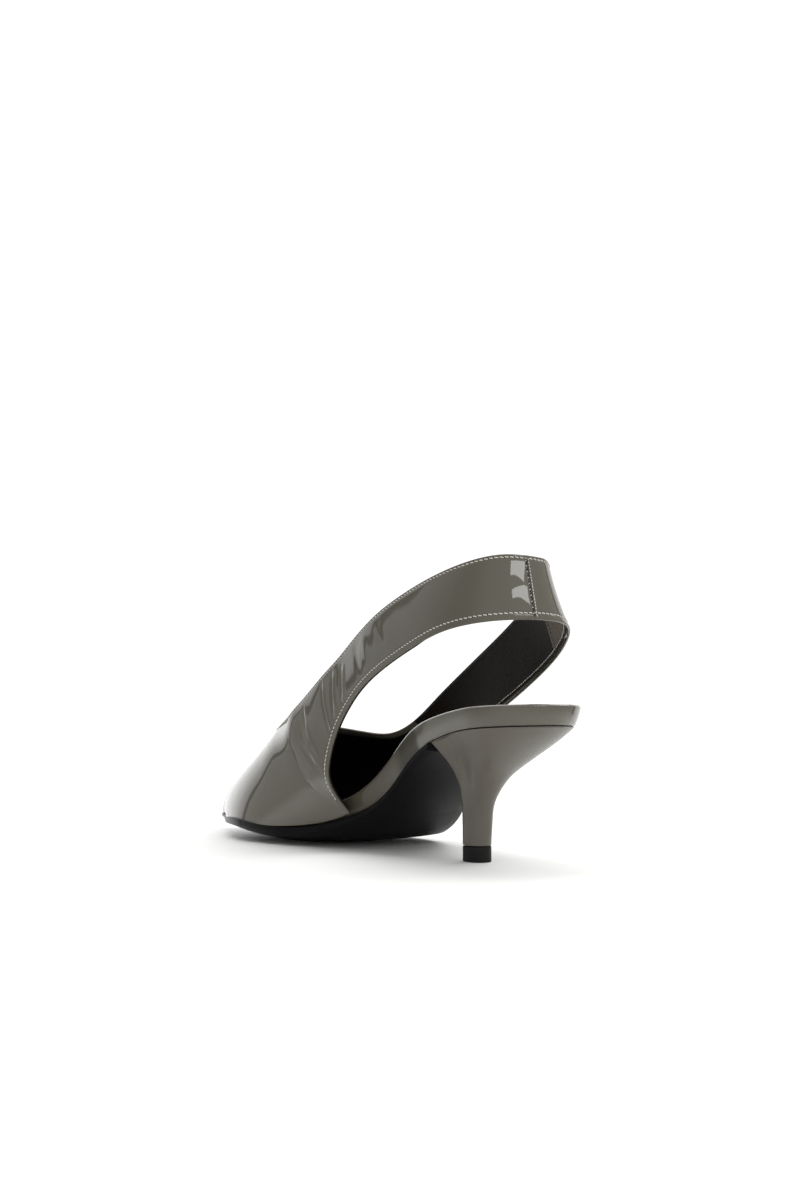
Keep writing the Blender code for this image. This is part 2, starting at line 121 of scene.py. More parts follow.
# The lining at the back of the strap: its ends, and how far it keeps from the strap's low edge
GRIP_FIRST_ROW = 20.95
GRIP_LAST_ROW = 27.3
STRAP_LINING_LOW = ((14.6, 20.0, 21.5, 26.5, 27.6, 33.4), (1.6, 1.6, 2.2, 2.2, 0.15, 0.15))
GRIP_LOW = ((20.0, 28.0), (2.75, 2.75))
GRIP_THICK = 0.35
GRIP_TOP = 1.9
VAMP_LINING_LOW = ((-0.9, 14.9), (0.15, 0.15))
STRAP_LINING_TOP = 0.3

# How far one layer sinks into the next, so that no light passes between them
LAYER_SUNK = 0.03
GRIP_SUNK = 0.05

# The rand's waist: forward, share of its colour, whose darkening is painted shade, and share of its
# gloss
WAIST_ROWS = (
    (50.0, 1.00, 1.00),
    (57.0, 1.05, 1.00),
    (60.0, 0.50, 0.16),
    (73.0, 0.45, 0.14),
    (80.0, 0.85, 0.40),
    (100.0, 0.75, 0.35),
    (125.0, 0.90, 0.60),
)

# How far the sole's edge curls up over the upper in front of the ball, by distance forward
SOLE_LIFT_ROWS = (
    (40.0, 0.0),
    (120.0, 0.0),
    (146.0, 0.0),
    (162.0, 0.8),
    (176.0, 2.0),
    (190.0, 2.7),
    (204.0, 2.0),
    (218.0, 0.9),
    (236.0, 0.1),
    (256.0, 0.0),
)

# Thickness of the sole at its edge, by distance forward
SOLE_EDGE_ROWS = (
    (48.0, 2.2),
    (100.0, 2.2),
    (135.0, 3.5),
    (185.0, 3.5),
    (225.0, 2.1),
    (LAST_LENGTH, 1.5),
)

# How far the sole's underside bulges down in its middle, by distance forward
SOLE_CROWN_ROWS = (
    (50.0, 1.6),
    (110.0, 2.4),
    (140.0, 2.4),
    (165.0, 4.0),
    (190.0, 4.2),
    (225.0, 1.6),
    (257.0, 0.3),
)

# The sole's rounded edge, as (inset, height): above its underside, and below its top
SOLE_LOW_ROUND = ((0.5, 0.0), (0.28, 0.12), (0.12, 0.28), (0.03, 0.45), (0.0, 0.6))
SOLE_TOP_ROUND = ((0.0, 0.45), (0.06, 0.2), (0.18, 0.06), (0.35, 0.0))

# The sock's rounded edge, as (inset, height above its underside)
SOCK_ROUND = ((0.1, 0.0), (0.0, 0.3), (0.0, 0.6), (0.15, 0.82), (0.45, SOCK_THICK))

# The top piece under the heel: height, and share of its full outline there
TOP_PIECE_ROWS = (
    (0.0, 0.955),
    (0.12, 0.975),
    (0.35, 0.993),
    (0.7, 1.0),
    (2.5, 1.0),
    (4.2, 1.0),
    (HEEL_TIP_HIGH - 0.45, 1.0),
    (HEEL_TIP_HIGH - 0.15, 0.985),
    (HEEL_TIP_HIGH, 0.95),
)

# Where the low edge leaves the sole, in rows, and the sides between which the relief and the film's
# waves fade in on the inner side
STRAP_START_ROWS = (14.2, 14.8)
RELIEF_SIDES = (18.0, 26.0)
FILM_SIDES = (12.0, 22.0)

# The heel's rounded edges
HEEL_ROUND = 0.5
HEEL_ROUND_DEG = 50

# Mesh steps, and the upper's mesh lines near its two edges, in millimetres from them
LOW_BAND = (0.9, 1.5, 1.85, 2.1, 2.3, 2.5, 2.7, 2.9, 3.15, 3.5, 4.0)
TOP_BAND = (0.7, 0.9, 1.05, 1.2, 1.35, 1.5, 1.65, 1.8, 2.1, 2.8, 4.0)
FACE_LINES = 72
INNER_LINES = 16
RIM_STEPS = 8
BACK_SEAM_STEPS = 24
BOARD_STEPS = 260
SOCK_STEPS = 160
SOLE_STEPS = 220
HEEL_FINER = 3
HEEL_LEVELS = 64
STEPS_A_ROW = 13
CREASED_STEPS_A_ROW = 40
CREASED_ROWS = (30.0, 35.0)
STITCH_RINGS = 5
STITCH_SIDES = 6

LAST_COLUMNS = ("forward", "inner", "outer", "height", "drop", "crown", "thickness")
LAST_ROWS = (
    (0.0, 23.5, 24.2, 52.0, 0.0, 0.0, 7.7),
    (20.0, 23.9, 24.5, 50.8, 0.0, 0.0, 7.7),
    (42.0, 23.7, 24.2, 47.3, 0.0, 0.0, 8.0),
    (64.0, 21.6, 22.8, 39.4, 0.0, 0.8, 10.0),
    (86.0, 18.4, 24.0, 26.4, 0.2, 1.6, 10.8),
    (108.0, 18.6, 30.6, 15.9, 0.8, 2.2, 8.6),
    (134.0, 23.4, 35.2, 9.4, 2.2, 2.8, 7.0),
    (160.0, 29.8, 37.0, 7.5, 0.9, 3.2, 4.6),
    (184.0, 30.0, 32.2, 7.2, 0.0, 3.0, 4.3),
    (208.0, 22.6, 23.0, 7.2, 0.0, 2.0, 4.3),
    (231.0, 11.8, 11.4, 7.4, 0.0, 1.0, 4.3),
    (244.0, 5.6, 5.4, 7.7, 0.0, 0.4, 4.3),
    (251.2, 3.0, 3.0, 7.9, 0.0, 0.2, 4.3),
)

# The rand on the board's edge: its face leans in towards the sole and bows out a little, and its
# top edge is a tight round.
RAND_LEAN = 2.2
RAND_BOW = 0.22
RAND_SHOULDER = 0.86
RAND_ROUND = 1.25

# The vamp's sections, from the inner corner of its rear cut round the toe to the outer corner.
# Columns: the low edge's forward; the topline's side, forward and height; the shoulder's side,
# forward and height; fullness.
VAMP_INNER_ROWS = (
    (110.0, 29.6, 154.0, 54.4, 40.4, 131.0, 29.0, 1.00),
    (138.0, 28.0, 163.0, 51.6, 41.4, 142.0, 27.5, 1.00),
    (164.0, 25.4, 171.5, 49.8, 40.0, 165.0, 31.5, 1.05),
    (189.0, 21.4, 178.8, 49.4, 37.4, 190.0, 26.6, 1.10),
    (211.0, 16.8, 184.4, 49.9, 32.4, 212.8, 22.4, 1.25),
    (230.0, 12.0, 187.4, 50.9, 25.4, 232.2, 20.6, 1.55),
    (244.0, 8.6, 188.6, 51.5, 19.4, 247.2, 19.4, 1.75),
)
VAMP_TIP_ROW = (253.3, 5.4, 189.0, 51.7, 12.6, 256.0, 18.8, 1.80)
VAMP_OUTER_ROWS = (
    (244.0, 2.0, 188.6, 51.6, 4.6, 247.0, 19.4, 1.75),
    (230.0, -1.8, 187.4, 51.2, -4.8, 232.0, 20.6, 1.55),
    (211.0, -7.2, 184.2, 50.3, -17.0, 213.0, 24.6, 1.20),
    (190.0, -13.4, 178.6, 49.0, -30.4, 191.0, 31.0, 1.15),
    (165.0, -19.6, 171.0, 47.5, -39.8, 165.5, 33.0, 1.10),
    (140.0, -24.8, 161.6, 47.0, -45.0, 141.0, 28.0, 1.00),
    (112.0, -28.4, 152.0, 49.9, -42.4, 128.0, 29.0, 1.00),
)

# The sling strap, from the outer corner round the heel to the inner corner. Columns: the low edge's
# side, forward and height; the topline's side, forward and height; bulge.
STRAP_ROWS = (
    (-33.6, 106.5, 27.0, -30.6, 141.5, 55.8, 4.0),
    (-34.2, 103.5, 36.5, -31.6, 129.5, 63.2, 2.8),
    (-33.8, 97.5, 46.0, -31.8, 115.5, 70.6, 1.8),
    (-33.1, 87.0, 54.3, -31.2, 98.5, 78.6, 1.2),
    (-32.3, 72.0, 61.2, -29.2, 78.0, 87.2, 0.8),
    (-30.8, 52.0, 70.0, -26.0, 56.0, 96.4, 0.6),
    (-27.5, 32.6, 79.0, -20.8, 36.0, 104.6, 0.0),
    (-20.8, 17.0, 86.2, -14.8, 22.2, 110.5, -0.8),
    (-11.6, 8.8, 89.2, -8.0, 14.5, 112.9, -0.4),
    (0.0, 6.1, 89.9, 0.0, 11.8, 113.6, 0.0),
    (12.8, 8.3, 89.6, 10.2, 13.9, 114.0, 0.7),
    (22.9, 16.3, 88.4, 18.5, 21.1, 112.5, 0.9),
    (29.0, 31.6, 85.2, 24.0, 35.6, 108.8, 1.0),
    (31.2, 53.0, 78.4, 26.6, 56.0, 103.1, 1.0),
    (32.3, 74.0, 70.2, 28.9, 79.0, 94.2, 1.0),
    (32.7, 90.0, 60.8, 30.6, 99.5, 82.4, 1.2),
    (32.9, 101.5, 49.8, 31.6, 116.5, 72.5, 1.8),
    (32.8, 108.6, 38.6, 31.7, 131.5, 64.2, 3.0),
    (31.4, 111.2, 27.0, 31.2, 143.5, 58.4, 4.4),
)
VAMP_LAST_ROW = 14
UPPER_ROWS = 34

# How much of its flare the heel has at each share of its height, at its back and at its breast
FLARE_ROWS = (
    (0.00, 0.000, 0.000),
    (0.20, 0.020, 0.006),
    (0.35, 0.048, 0.018),
    (0.50, 0.155, 0.060),
    (0.60, 0.272, 0.130),
    (0.70, 0.452, 0.265),
    (0.80, 0.648, 0.460),
    (0.90, 0.838, 0.725),
    (1.00, 1.000, 1.000),
)

# Creases of the upper's inner side where the strap leaves the vamp. Columns: forward and height of
# one end, forward and height of the other, half width, deep. A negative depth raises a ridge.
CREASE_ROWS = (
    (117.0, 69.5, 106.2, 46.5, 0.75, 0.42),
    (115.0, 69.0, 104.8, 47.0, 0.80, -0.34),
    (108.8, 73.5, 103.2, 51.5, 0.80, 0.48),
    (106.6, 73.5, 101.6, 56.0, 0.85, -0.42),
    (100.6, 75.0, 97.4, 59.0, 0.75, 0.40),
    (98.6, 75.5, 95.8, 62.0, 1.00, -0.26),
    (91.0, 84.0, 83.0, 71.0, 1.30, 0.24),
    (86.0, 88.0, 77.0, 75.0, 1.50, -0.22),
    (76.0, 92.0, 66.0, 80.0, 1.40, 0.20),
    (131.0, 58.0, 124.5, 49.5, 0.90, 0.34),
    (127.5, 54.0, 113.5, 35.0, 1.10, -0.26),
    (130.5, 50.0, 117.5, 33.0, 1.30, 0.20),
    (131.0, 44.5, 115.0, 31.0, 1.20, 0.22),
    (128.0, 45.5, 113.5, 33.0, 1.20, -0.16),
)

# Soft dents of the upper: forward, height, half length, half height, deep; on the inner side
DENT_ROWS = (
    (103.0, 72.0, 12.0, 14.0, 0.50),
    (115.0, 46.0, 10.0, 16.0, 0.50),
    (124.0, 27.0, 8.0, 6.0, -0.80),
    (134.0, 34.0, 10.0, 9.0, -0.60),
    (147.0, 46.0, 11.0, 10.0, -0.60),
    (162.0, 40.0, 12.0, 10.0, -0.60),
)

# Slow waves of the lacquer over the vamp's inner side, in the same columns, which only bend the gloss
FILM_ROWS = (
    (101.0, 74.0, 23.0, 18.0, 1.00),
    (104.0, 68.0, 10.0, 20.0, 0.40),
    (92.0, 80.0, 9.0, 10.0, 0.25),
    (115.0, 50.0, 10.0, 16.0, 0.85),
    (128.0, 52.0, 9.0, 10.0, 1.05),
    (126.0, 34.0, 10.0, 9.0, 0.50),
    (140.0, 36.0, 10.0, 9.0, -0.20),
    (147.0, 50.0, 11.0, 12.0, -2.40),
    (141.0, 58.0, 7.0, 8.0, 0.65),
    (162.0, 42.0, 12.0, 10.0, -0.95),
    (184.0, 44.0, 12.0, 10.0, -0.60),
)


# The studio round the shoe: azimuths in degrees from +Y towards +X, counted on past the camera, and
# the brightness there. A white backdrop stands between two narrow black flags.
FIRST_AZIMUTH = 32.0
SURROUND_ROWS = (
    (32.0, 0.84),
    (60.0, 0.80),
    (95.0, 0.48),
    (119.0, 0.44),
    (122.0, 0.52),
    (150.0, 0.52),
    (154.4, 0.52),
    (154.9, 0.02),
    (159.4, 0.02),
    (160.0, 0.72),
    (174.0, 1.08),
    (186.0, 1.15),
    (262.0, 1.15),
    (262.6, 0.04),
    (270.0, 0.04),
    (271.0, 0.52),
    (316.0, 0.64),
    (350.0, 0.78),
    (392.0, 0.84),
)
FLOOR_CENTRE = (-0.04, 0.05, 0.0)
FLOOR_RADIUS = 0.22
FLOOR_FADE = 0.12
FLOOR_SIDES = 96
PLAIN_WHITE = 1.15

# The lamps: name, the place that they are aimed at, azimuth, elevation, how wide and high they look
# from there, brightness and roll, with all angles in degrees
STRAP_BACK = (0.005, 0.116, 0.1)
SEAT_TOP = (0.01, 0.12, 0.058)
SOFTBOX_AWAY = 1.5
SOFTBOX_ROWS = (
    ("upper_strip", STRAP_BACK, -15.4, 35.4, 24.0, 5.2, 5.8, 18.6),
    ("lower_strip", STRAP_BACK, -16.6, 27.6, 26.0, 3.2, 5.8, 5.0),
    ("left_overhead", SEAT_TOP, 176.0, 66.0, 44.0, 38.0, 1.9, 0.0),
    ("right_overhead", SEAT_TOP, -102.0, 52.0, 44.0, 38.0, 2.9, 0.0),
)

# The camera: its place, the direction from the shoe back to it, its lens and its sensor
EYE = (0.32277, 0.57851, 0.05824)
CAMERA_BACK = (0.498875, 0.863896, -0.069336)
LENS_MM = 46.572
SENSOR_MM = 36.0


# Curves and the last

def spline(knots, values, at, closed=False):
    """Cubic curve of continuous curvature through the values at the knots.

    Its bends b solve h[i-1] b[i-1] + 2 (h[i-1] + h[i]) b[i] + h[i] b[i+1] = 6 times the change of
    slope at knot i. A closed curve repeats its first value as its last one."""
    knots = np.asarray(knots, float)
    values = np.asarray(values, float)
    count = len(knots)
    step = np.diff(knots)
    slope = (np.diff(values, axis=0).T / step).T
    system = np.eye(count)
    known = np.zeros(values.shape)
    for i in range(1, count - 1):
        system[i, i - 1:i + 2] = step[i - 1], 2 * (step[i - 1] + step[i]), step[i]
        known[i] = 6 * (slope[i] - slope[i - 1])
    if closed:
        system[0] = 0.0
        system[0, [-2, 0, 1]] = step[-1], 2 * (step[-1] + step[0]), step[0]
        known[0] = 6 * (slope[0] - slope[-1])
        system[-1, 0] = -1.0
    bend = np.linalg.solve(system, known)
    at = np.asarray(at, float)
    low = np.clip(np.searchsorted(knots, at, side="right") - 1, 0, count - 2)
    wide = step[low]
    after = (at - knots[low]) / wide
    before = 1 - after
    shape = at.shape + (1,) * (values.ndim - 1)
    wide, after, before = wide.reshape(shape), after.reshape(shape), before.reshape(shape)
    cubic = (before**3 - before) * bend[low] + (after**3 - after) * bend[low + 1]
    return before * values[low] + after * values[low + 1] + cubic * wide**2 / 6


def smooth_step(low, high, value):
    """0 below low, 1 above high, and 3 s^2 - 2 s^3 between them."""
    share = np.clip((value - low) / (high - low), 0.0, 1.0)
    return share**2 * (3 - 2 * share)


def last(column, forward):
    """A column of the table of the last's bottom, at any distance forward."""
    rows = np.array(LAST_ROWS)
    return spline(rows[:, 0], rows[:, LAST_COLUMNS.index(column)], forward)


def centre_line(forward):
    """Side of the middle of the last's bottom: the toe's swing times share^1.5."""
    share = np.clip((forward - SWING_START) / (LAST_LENGTH - SWING_START), 0.0, None)
    return TOE_SWING * share**SWING_POWER


def half_width(column, forward, inset=0.0):
    """Half width of the last's bottom less the inset, times a quarter circle at both ends."""
    at_seat = np.clip((forward - inset) / (SEAT_RADIUS - inset), 0.0, 1.0)
    at_toe = np.clip((LAST_LENGTH - inset - forward) / (TOE_RADIUS - inset), 0.0, 1.0)
    rounded = np.sqrt(1 - (1 - at_seat)**2) * np.sqrt(1 - (1 - at_toe)**2)
    return (last(column, forward) - inset) * rounded


def share_across(forward, side):
    """0 on the centre line, and 1 at and outside the edge of the last's bottom."""
    offset = side - centre_line(forward)
    inner = np.maximum(half_width("inner", forward), 1.0)
    outer = np.maximum(half_width("outer", forward), 1.0)
    return np.clip(np.abs(offset) / np.where(offset > 0, inner, outer), 0.0, 1.0)


def stations(start, end, steps):
    """Distances forward at equal turns of a half circle, so closer together near both ends."""
    return start + (end - start) * (1 - np.cos(np.linspace(0, np.pi, steps + 1))) / 2


def bottom(forward, side):
    """Height of the last's bottom edge, which lies lower on the outer side at the ball."""
    offset = side - centre_line(forward)
    outwards = 0.5 - 0.5 * np.sign(offset) * share_across(forward, side)
    return last("height", forward) - last("drop", forward) * outwards


def board_under(forward, side):
    """Height of the covered board's underside: the bottom edge less crown (1 - share^2)."""
    crown = last("crown", forward) * (1 - share_across(forward, side)**2)
    return bottom(forward, side) - crown


def board_top(forward, side):
    """Height of the covered board's top inside its rim, cupped under the heel."""
    cup = SEAT_CUP * np.clip(1.3 - forward / 90.0, 0.3, 1.0)
    hollow = cup * (1 - share_across(forward, side)**2)
    return bottom(forward, side) + last("thickness", forward) - RIM_HIGH - hollow


# Meshes

def place(side, forward, height):
    """Points of the frame, in metres."""
    side, forward, height = np.broadcast_arrays(side, forward, height)
    points = np.stack((side - CENTRE_SIDE, CENTRE_FORWARD - forward, height), axis=-1)
    return points * MM


def in_frame(points):
    """Points given as (side, forward, height), in the frame."""
    return place(points[..., 0], points[..., 1], points[..., 2])


def grid_faces(rows, columns, wrap_rows=False, wrap_columns=True):
    """Four-sided faces of a grid of points."""
    row = np.arange(rows if wrap_rows else rows - 1)[:, None]
    column = np.arange(columns if wrap_columns else columns - 1)[None, :]
    following = (row + 1) % rows
    beside = (column + 1) % columns
    corners = (
        row * columns + column, row * columns + beside,
        following * columns + beside, following * columns + column,
    )
    return np.stack(corners, axis=-1).reshape(-1, 4)


def piece(name, points, faces, finish, sharp_deg=40.0, caps=()):
    """One closed mesh that rides on the shoe, its doubled points merged and its faces outward."""
    mesh = bpy.data.meshes.new(name)
    faces = [tuple(face) for face in faces.tolist()] + [tuple(cap) for cap in caps]
    mesh.from_pydata(np.asarray(points).reshape(-1, 3).tolist(), [], faces)
    work = bmesh.new()
    work.from_mesh(mesh)
    bmesh.ops.remove_doubles(work, verts=work.verts, dist=2e-6)
    bmesh.ops.dissolve_degenerate(work, edges=work.edges, dist=1e-6)
    bmesh.ops.recalc_face_normals(work, faces=work.faces)
    work.to_mesh(mesh)
    work.free()
    mesh.materials.append(finish)
    mesh.shade_smooth()
    mesh.set_sharp_from_angle(angle=np.radians(sharp_deg))
    made = bpy.data.objects.new(name, mesh)
    bpy.context.scene.collection.objects.link(made)
    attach(made, "root")
    return made


def capped(name, grid, finish, sharp_deg):
    """A closed mesh of rings, one to a row, with its first and last ring filled."""
    rows, ring = grid.shape[:2]
    caps = (range(ring), range((rows - 1) * ring, rows * ring))
    return piece(name, grid, grid_faces(rows, ring), finish, sharp_deg, caps)


# Materials

def colour(code):
    """An sRGB hex colour as linear red, green, blue and alpha."""
    values = np.array([int(code[i:i + 2], 16) for i in (1, 3, 5)]) / 255.0
    linear = np.where(values <= 0.04045, values / 12.92, ((values + 0.055) / 1.055)**2.4)
    return (*linear.tolist(), 1.0)


def node(tree, kind, links=(), **settings):
    """Adds a node, sets its inputs and properties, and links (output, input name) pairs to it."""
    made = tree.nodes.new(kind)
    for name, value in settings.items():
        socket = made.inputs.get(name.replace("_", " "))
        if socket is not None:
            socket.default_value = value
        else:
            setattr(made, name, value)
    for output, name in links:
        tree.links.new(output, made.inputs[name])
    return made


def new_material(name):
    """A material with its Principled shader and Object coordinates."""
    made = bpy.data.materials.new(name)
    made.use_nodes = True
    tree = made.node_tree
    shader = tree.nodes["Principled BSDF"]
    coordinates = tree.nodes.new("ShaderNodeTexCoord").outputs["Object"]
    return made, tree, shader, coordinates


def set_shader(shader, **values):
    """Sets the shader's own sockets."""
    for name, value in values.items():
        shader.inputs[name.replace("_", " ")].default_value = value


def mottled(tree, shader, pattern, light, dark):
    """Base colour that runs from dark to light as the pattern's share rises."""
    blend = node(tree, "ShaderNodeMix", [(pattern, "Factor")], data_type="RGBA")
    blend.inputs[6].default_value = colour(dark)
    blend.inputs[7].default_value = colour(light)
    tree.links.new(blend.outputs[2], shader.inputs["Base Color"])


def film_waves(tree, at):
    """Height in metres of the lacquer's slow waves, as a socket.

    Each row adds -deep exp(-(forward / half length)^2 - (height / half height)^2)."""
    height = None
    for forward, high, half_long, half_high, deep in FILM_ROWS:
        shift = node(tree, "ShaderNodeVectorMath", [(at, 0)], operation="SUBTRACT")
        shift.inputs[1].default_value = (0.0, (CENTRE_FORWARD - forward) * MM, high * MM)
        shrunk = node(
            tree, "ShaderNodeVectorMath", [(shift.outputs["Vector"], 0)], operation="MULTIPLY",
        )
        shrunk.inputs[1].default_value = (0.0, 1 / (half_long * MM), 1 / (half_high * MM))
        away = shrunk.outputs["Vector"]
        square = node(tree, "ShaderNodeVectorMath", [(away, 0), (away, 1)], operation="DOT_PRODUCT")
        fall = node(tree, "ShaderNodeMath", [(square.outputs["Value"], 1)], operation="POWER")
        fall.inputs[0].default_value = np.exp(-1.0)
        added = node(tree, "ShaderNodeMath", [(fall.outputs["Value"], 0)], operation="MULTIPLY_ADD")
        added.inputs[1].default_value = -deep * MM
        if height is None:
            added.inputs[2].default_value = 0.0
        else:
            tree.links.new(height, added.inputs[2])
        height = added.outputs["Value"]
    parts = node(tree, "ShaderNodeSeparateXYZ", [(at, "Vector")])
    inner = node(
        tree, "ShaderNodeMapRange", [(parts.outputs["X"], "Value")],
        interpolation_type="SMOOTHSTEP",
        From_Min=FILM_SIDES[0] * MM, From_Max=FILM_SIDES[1] * MM,
    )
    links = [(height, 0), (inner.outputs["Result"], 1)]
    return node(tree, "ShaderNodeMath", links, operation="MULTIPLY").outputs["Value"]


def patent_leather(
    name, light, dark, pull_mm=9.0, pull_high=0.035, film_ior=1.52, film=1.0, waved=False,
):
    """Calf leather under a poured film of clear lacquer.

    The film gives a hard, mirror-like gloss over a soft olive grey. It is pulled into small waves
    pull_mm apart and pull_high deep, and on the upper it also follows the slow waves of FILM_ROWS,
    so that reflections bend a little."""
    made, tree, shader, at = new_material(name)
    cloud = node(tree, "ShaderNodeTexNoise", [(at, "Vector")], Scale=1 / (26 * MM), Detail=2.0)
    mottled(tree, shader, cloud.outputs["Fac"], light, dark)
    wave = node(tree, "ShaderNodeTexNoise", [(at, "Vector")], Scale=1 / (pull_mm * MM), Detail=1.0)
    lacquer = node(
        tree, "ShaderNodeBump", [(wave.outputs["Fac"], "Height")],
        Strength=1.0, Distance=pull_high * MM,
    )
    if waved:
        slow = node(
            tree, "ShaderNodeBump", [(film_waves(tree, at), "Height")], Strength=1.0, Distance=1.0,
        )
        tree.links.new(slow.outputs["Normal"], lacquer.inputs["Normal"])
    tree.links.new(lacquer.outputs["Normal"], shader.inputs["Coat Normal"])
    # The leather's own pores are 0.2 mm apart and are drawn at 0.5 mm, so that they show.
    grain = node(tree, "ShaderNodeTexVoronoi", [(at, "Vector")], Scale=1 / (0.5 * MM))
    pores = node(
        tree, "ShaderNodeBump",
        [(grain.outputs["Distance"], "Height"), (lacquer.outputs["Normal"], "Normal")],
        Strength=0.12, Distance=0.06 * MM,
    )
    tree.links.new(pores.outputs["Normal"], shader.inputs["Normal"])
    set_shader(
        shader, Roughness=0.42, IOR=1.45, Coat_Weight=film, Coat_Roughness=0.025,
        Coat_IOR=film_ior, Specular_IOR_Level=0.2,
    )
    return made


def paint_shade_on_rand_waist(finish):
    """Painted shade: the rand's waist is darkened to a brown olive, and its gloss is thinned there.
    """
    tree = finish.node_tree
    shader = tree.nodes["Principled BSDF"]
    base = shader.inputs["Base Color"].links[0].from_socket
    at = tree.nodes.new("ShaderNodeTexCoord").outputs["Object"]
    parts = node(tree, "ShaderNodeSeparateXYZ", [(at, "Vector")])
    start, end = WAIST_ROWS[0][0], WAIST_ROWS[-1][0]
    share = node(
        tree, "ShaderNodeMapRange", [(parts.outputs["Y"], "Value")],
        From_Min=(CENTRE_FORWARD - start) * MM, From_Max=(CENTRE_FORWARD - end) * MM,
    )
    ramps = []
    for column in (1, 2):
        ramp = node(tree, "ShaderNodeValToRGB", [(share.outputs["Result"], "Fac")])
        stops = ramp.color_ramp.elements
        for row in WAIST_ROWS:
            level = row[column]
            if row[0] == start or row[0] == end:
                stop = stops[0 if row[0] == start else len(stops) - 1]
            else:
                stop = stops.new((row[0] - start) / (end - start))
            stop.color = (level, level**1.06, level**1.2, 1.0)
        ramps.append(ramp.outputs["Color"])
    # Painted shade: the base colour is multiplied by the waist's darkening.
    painted_waist_shade = node(
        tree, "ShaderNodeMix", [(base, 6), (ramps[0], 7)], data_type="RGBA", blend_type="MULTIPLY",
    )
    painted_waist_shade.inputs["Factor"].default_value = 1.0
    tree.links.new(painted_waist_shade.outputs[2], shader.inputs["Base Color"])
    # The folded top edge has kept its gloss.
    facing = tree.nodes.new("ShaderNodeNewGeometry").outputs["Normal"]
    lean = node(tree, "ShaderNodeSeparateXYZ", [(facing, "Vector")])
    folded = node(
        tree, "ShaderNodeMapRange", [(lean.outputs["Z"], "Value")], From_Min=0.08, From_Max=0.25,
    )
    gloss = node(
        tree, "ShaderNodeMath", [(ramps[1], 0), (folded.outputs["Result"], 1)], operation="MAXIMUM",
    )
    tree.links.new(gloss.outputs["Value"], shader.inputs["Coat Weight"])


def lining_leather(name, light, dark, roughness=0.5):
    """Thin kid leather with its fine pores, buffed to a dull gloss."""
    made, tree, shader, at = new_material(name)
    cloud = node(tree, "ShaderNodeTexNoise", [(at, "Vector")], Scale=1 / (14 * MM), Detail=4.0)
    mottled(tree, shader, cloud.outputs["Fac"], light, dark)
    # Pores about 0.3 mm apart, drawn at 0.8 mm so that they show.
    grain = node(tree, "ShaderNodeTexVoronoi", [(at, "Vector")], Scale=1 / (0.8 * MM))
    bump = node(
        tree, "ShaderNodeBump", [(grain.outputs["Distance"], "Height")],
        Strength=0.5, Distance=0.12 * MM,
    )
    tree.links.new(bump.outputs["Normal"], shader.inputs["Normal"])
    set_shader(shader, Roughness=roughness, IOR=1.45, Specular_IOR_Level=0.12)
    return made


def spun_thread(name, code):
    """Bonded polyester thread: a slight sheen, with its twist 0.3 mm apart."""
    made, tree, shader, at = new_material(name)
    twist = node(
        tree, "ShaderNodeTexWave", [(at, "Vector")], Scale=1 / (0.9 * MM), Distortion=1.5,
        bands_direction="DIAGONAL",
    )
    bump = node(
        tree, "ShaderNodeBump", [(twist.outputs["Fac"], "Height")],
        Strength=0.6, Distance=0.06 * MM,
    )
    tree.links.new(bump.outputs["Normal"], shader.inputs["Normal"])
    set_shader(shader, Base_Color=colour(code), Roughness=0.5, Sheen_Weight=0.2)
    return made


def sole_leather(name, light, dark, roughness):
    """Leather dyed black and rolled under a hot iron: a faint cool sheen with fine streaks."""
    made, tree, shader, at = new_material(name)
    turn = node(tree, "ShaderNodeMapping", [(at, "Vector")], Scale=(1.0, 0.25, 1.0))
    streak = node(
        tree, "ShaderNodeTexNoise", [(turn.outputs["Vector"], "Vector")],
        Scale=1 / (5 * MM), Detail=5.0,
    )
    mottled(tree, shader, streak.outputs["Fac"], light, dark)
    bump = node(
        tree, "ShaderNodeBump", [(streak.outputs["Fac"], "Height")],
        Strength=0.35, Distance=0.15 * MM,
    )
    tree.links.new(bump.outputs["Normal"], shader.inputs["Normal"])
    # The edge is burnished to a faint shine in front of the ball, at 152 to 177 mm forward.
    parts = node(tree, "ShaderNodeSeparateXYZ", [(at, "Vector")])
    burnished = node(
        tree, "ShaderNodeMapRange", [(parts.outputs["Y"], "Value")],
        From_Min=(CENTRE_FORWARD - BURNISH_START) * MM,
        From_Max=(CENTRE_FORWARD - BURNISH_FULL) * MM, To_Max=BURNISH_GLOSS,
    )
    tree.links.new(burnished.outputs["Result"], shader.inputs["Coat Weight"])
    set_shader(shader, Roughness=roughness, IOR=1.45, Specular_IOR_Level=0.09, Coat_Roughness=0.12)
    return made


def moulded_rubber(name, code):
    """Moulded heel rubber: matt, with a fine grit."""
    made, tree, shader, at = new_material(name)
    grit = node(tree, "ShaderNodeTexNoise", [(at, "Vector")], Scale=1 / (0.6 * MM), Detail=3.0)
    bump = node(
        tree, "ShaderNodeBump", [(grit.outputs["Fac"], "Height")],
        Strength=0.5, Distance=0.08 * MM,
    )
    tree.links.new(bump.outputs["Normal"], shader.inputs["Normal"])
    set_shader(shader, Base_Color=colour(code), Roughness=0.6, IOR=1.5, Specular_IOR_Level=0.25)
    return made


# The upper's surface

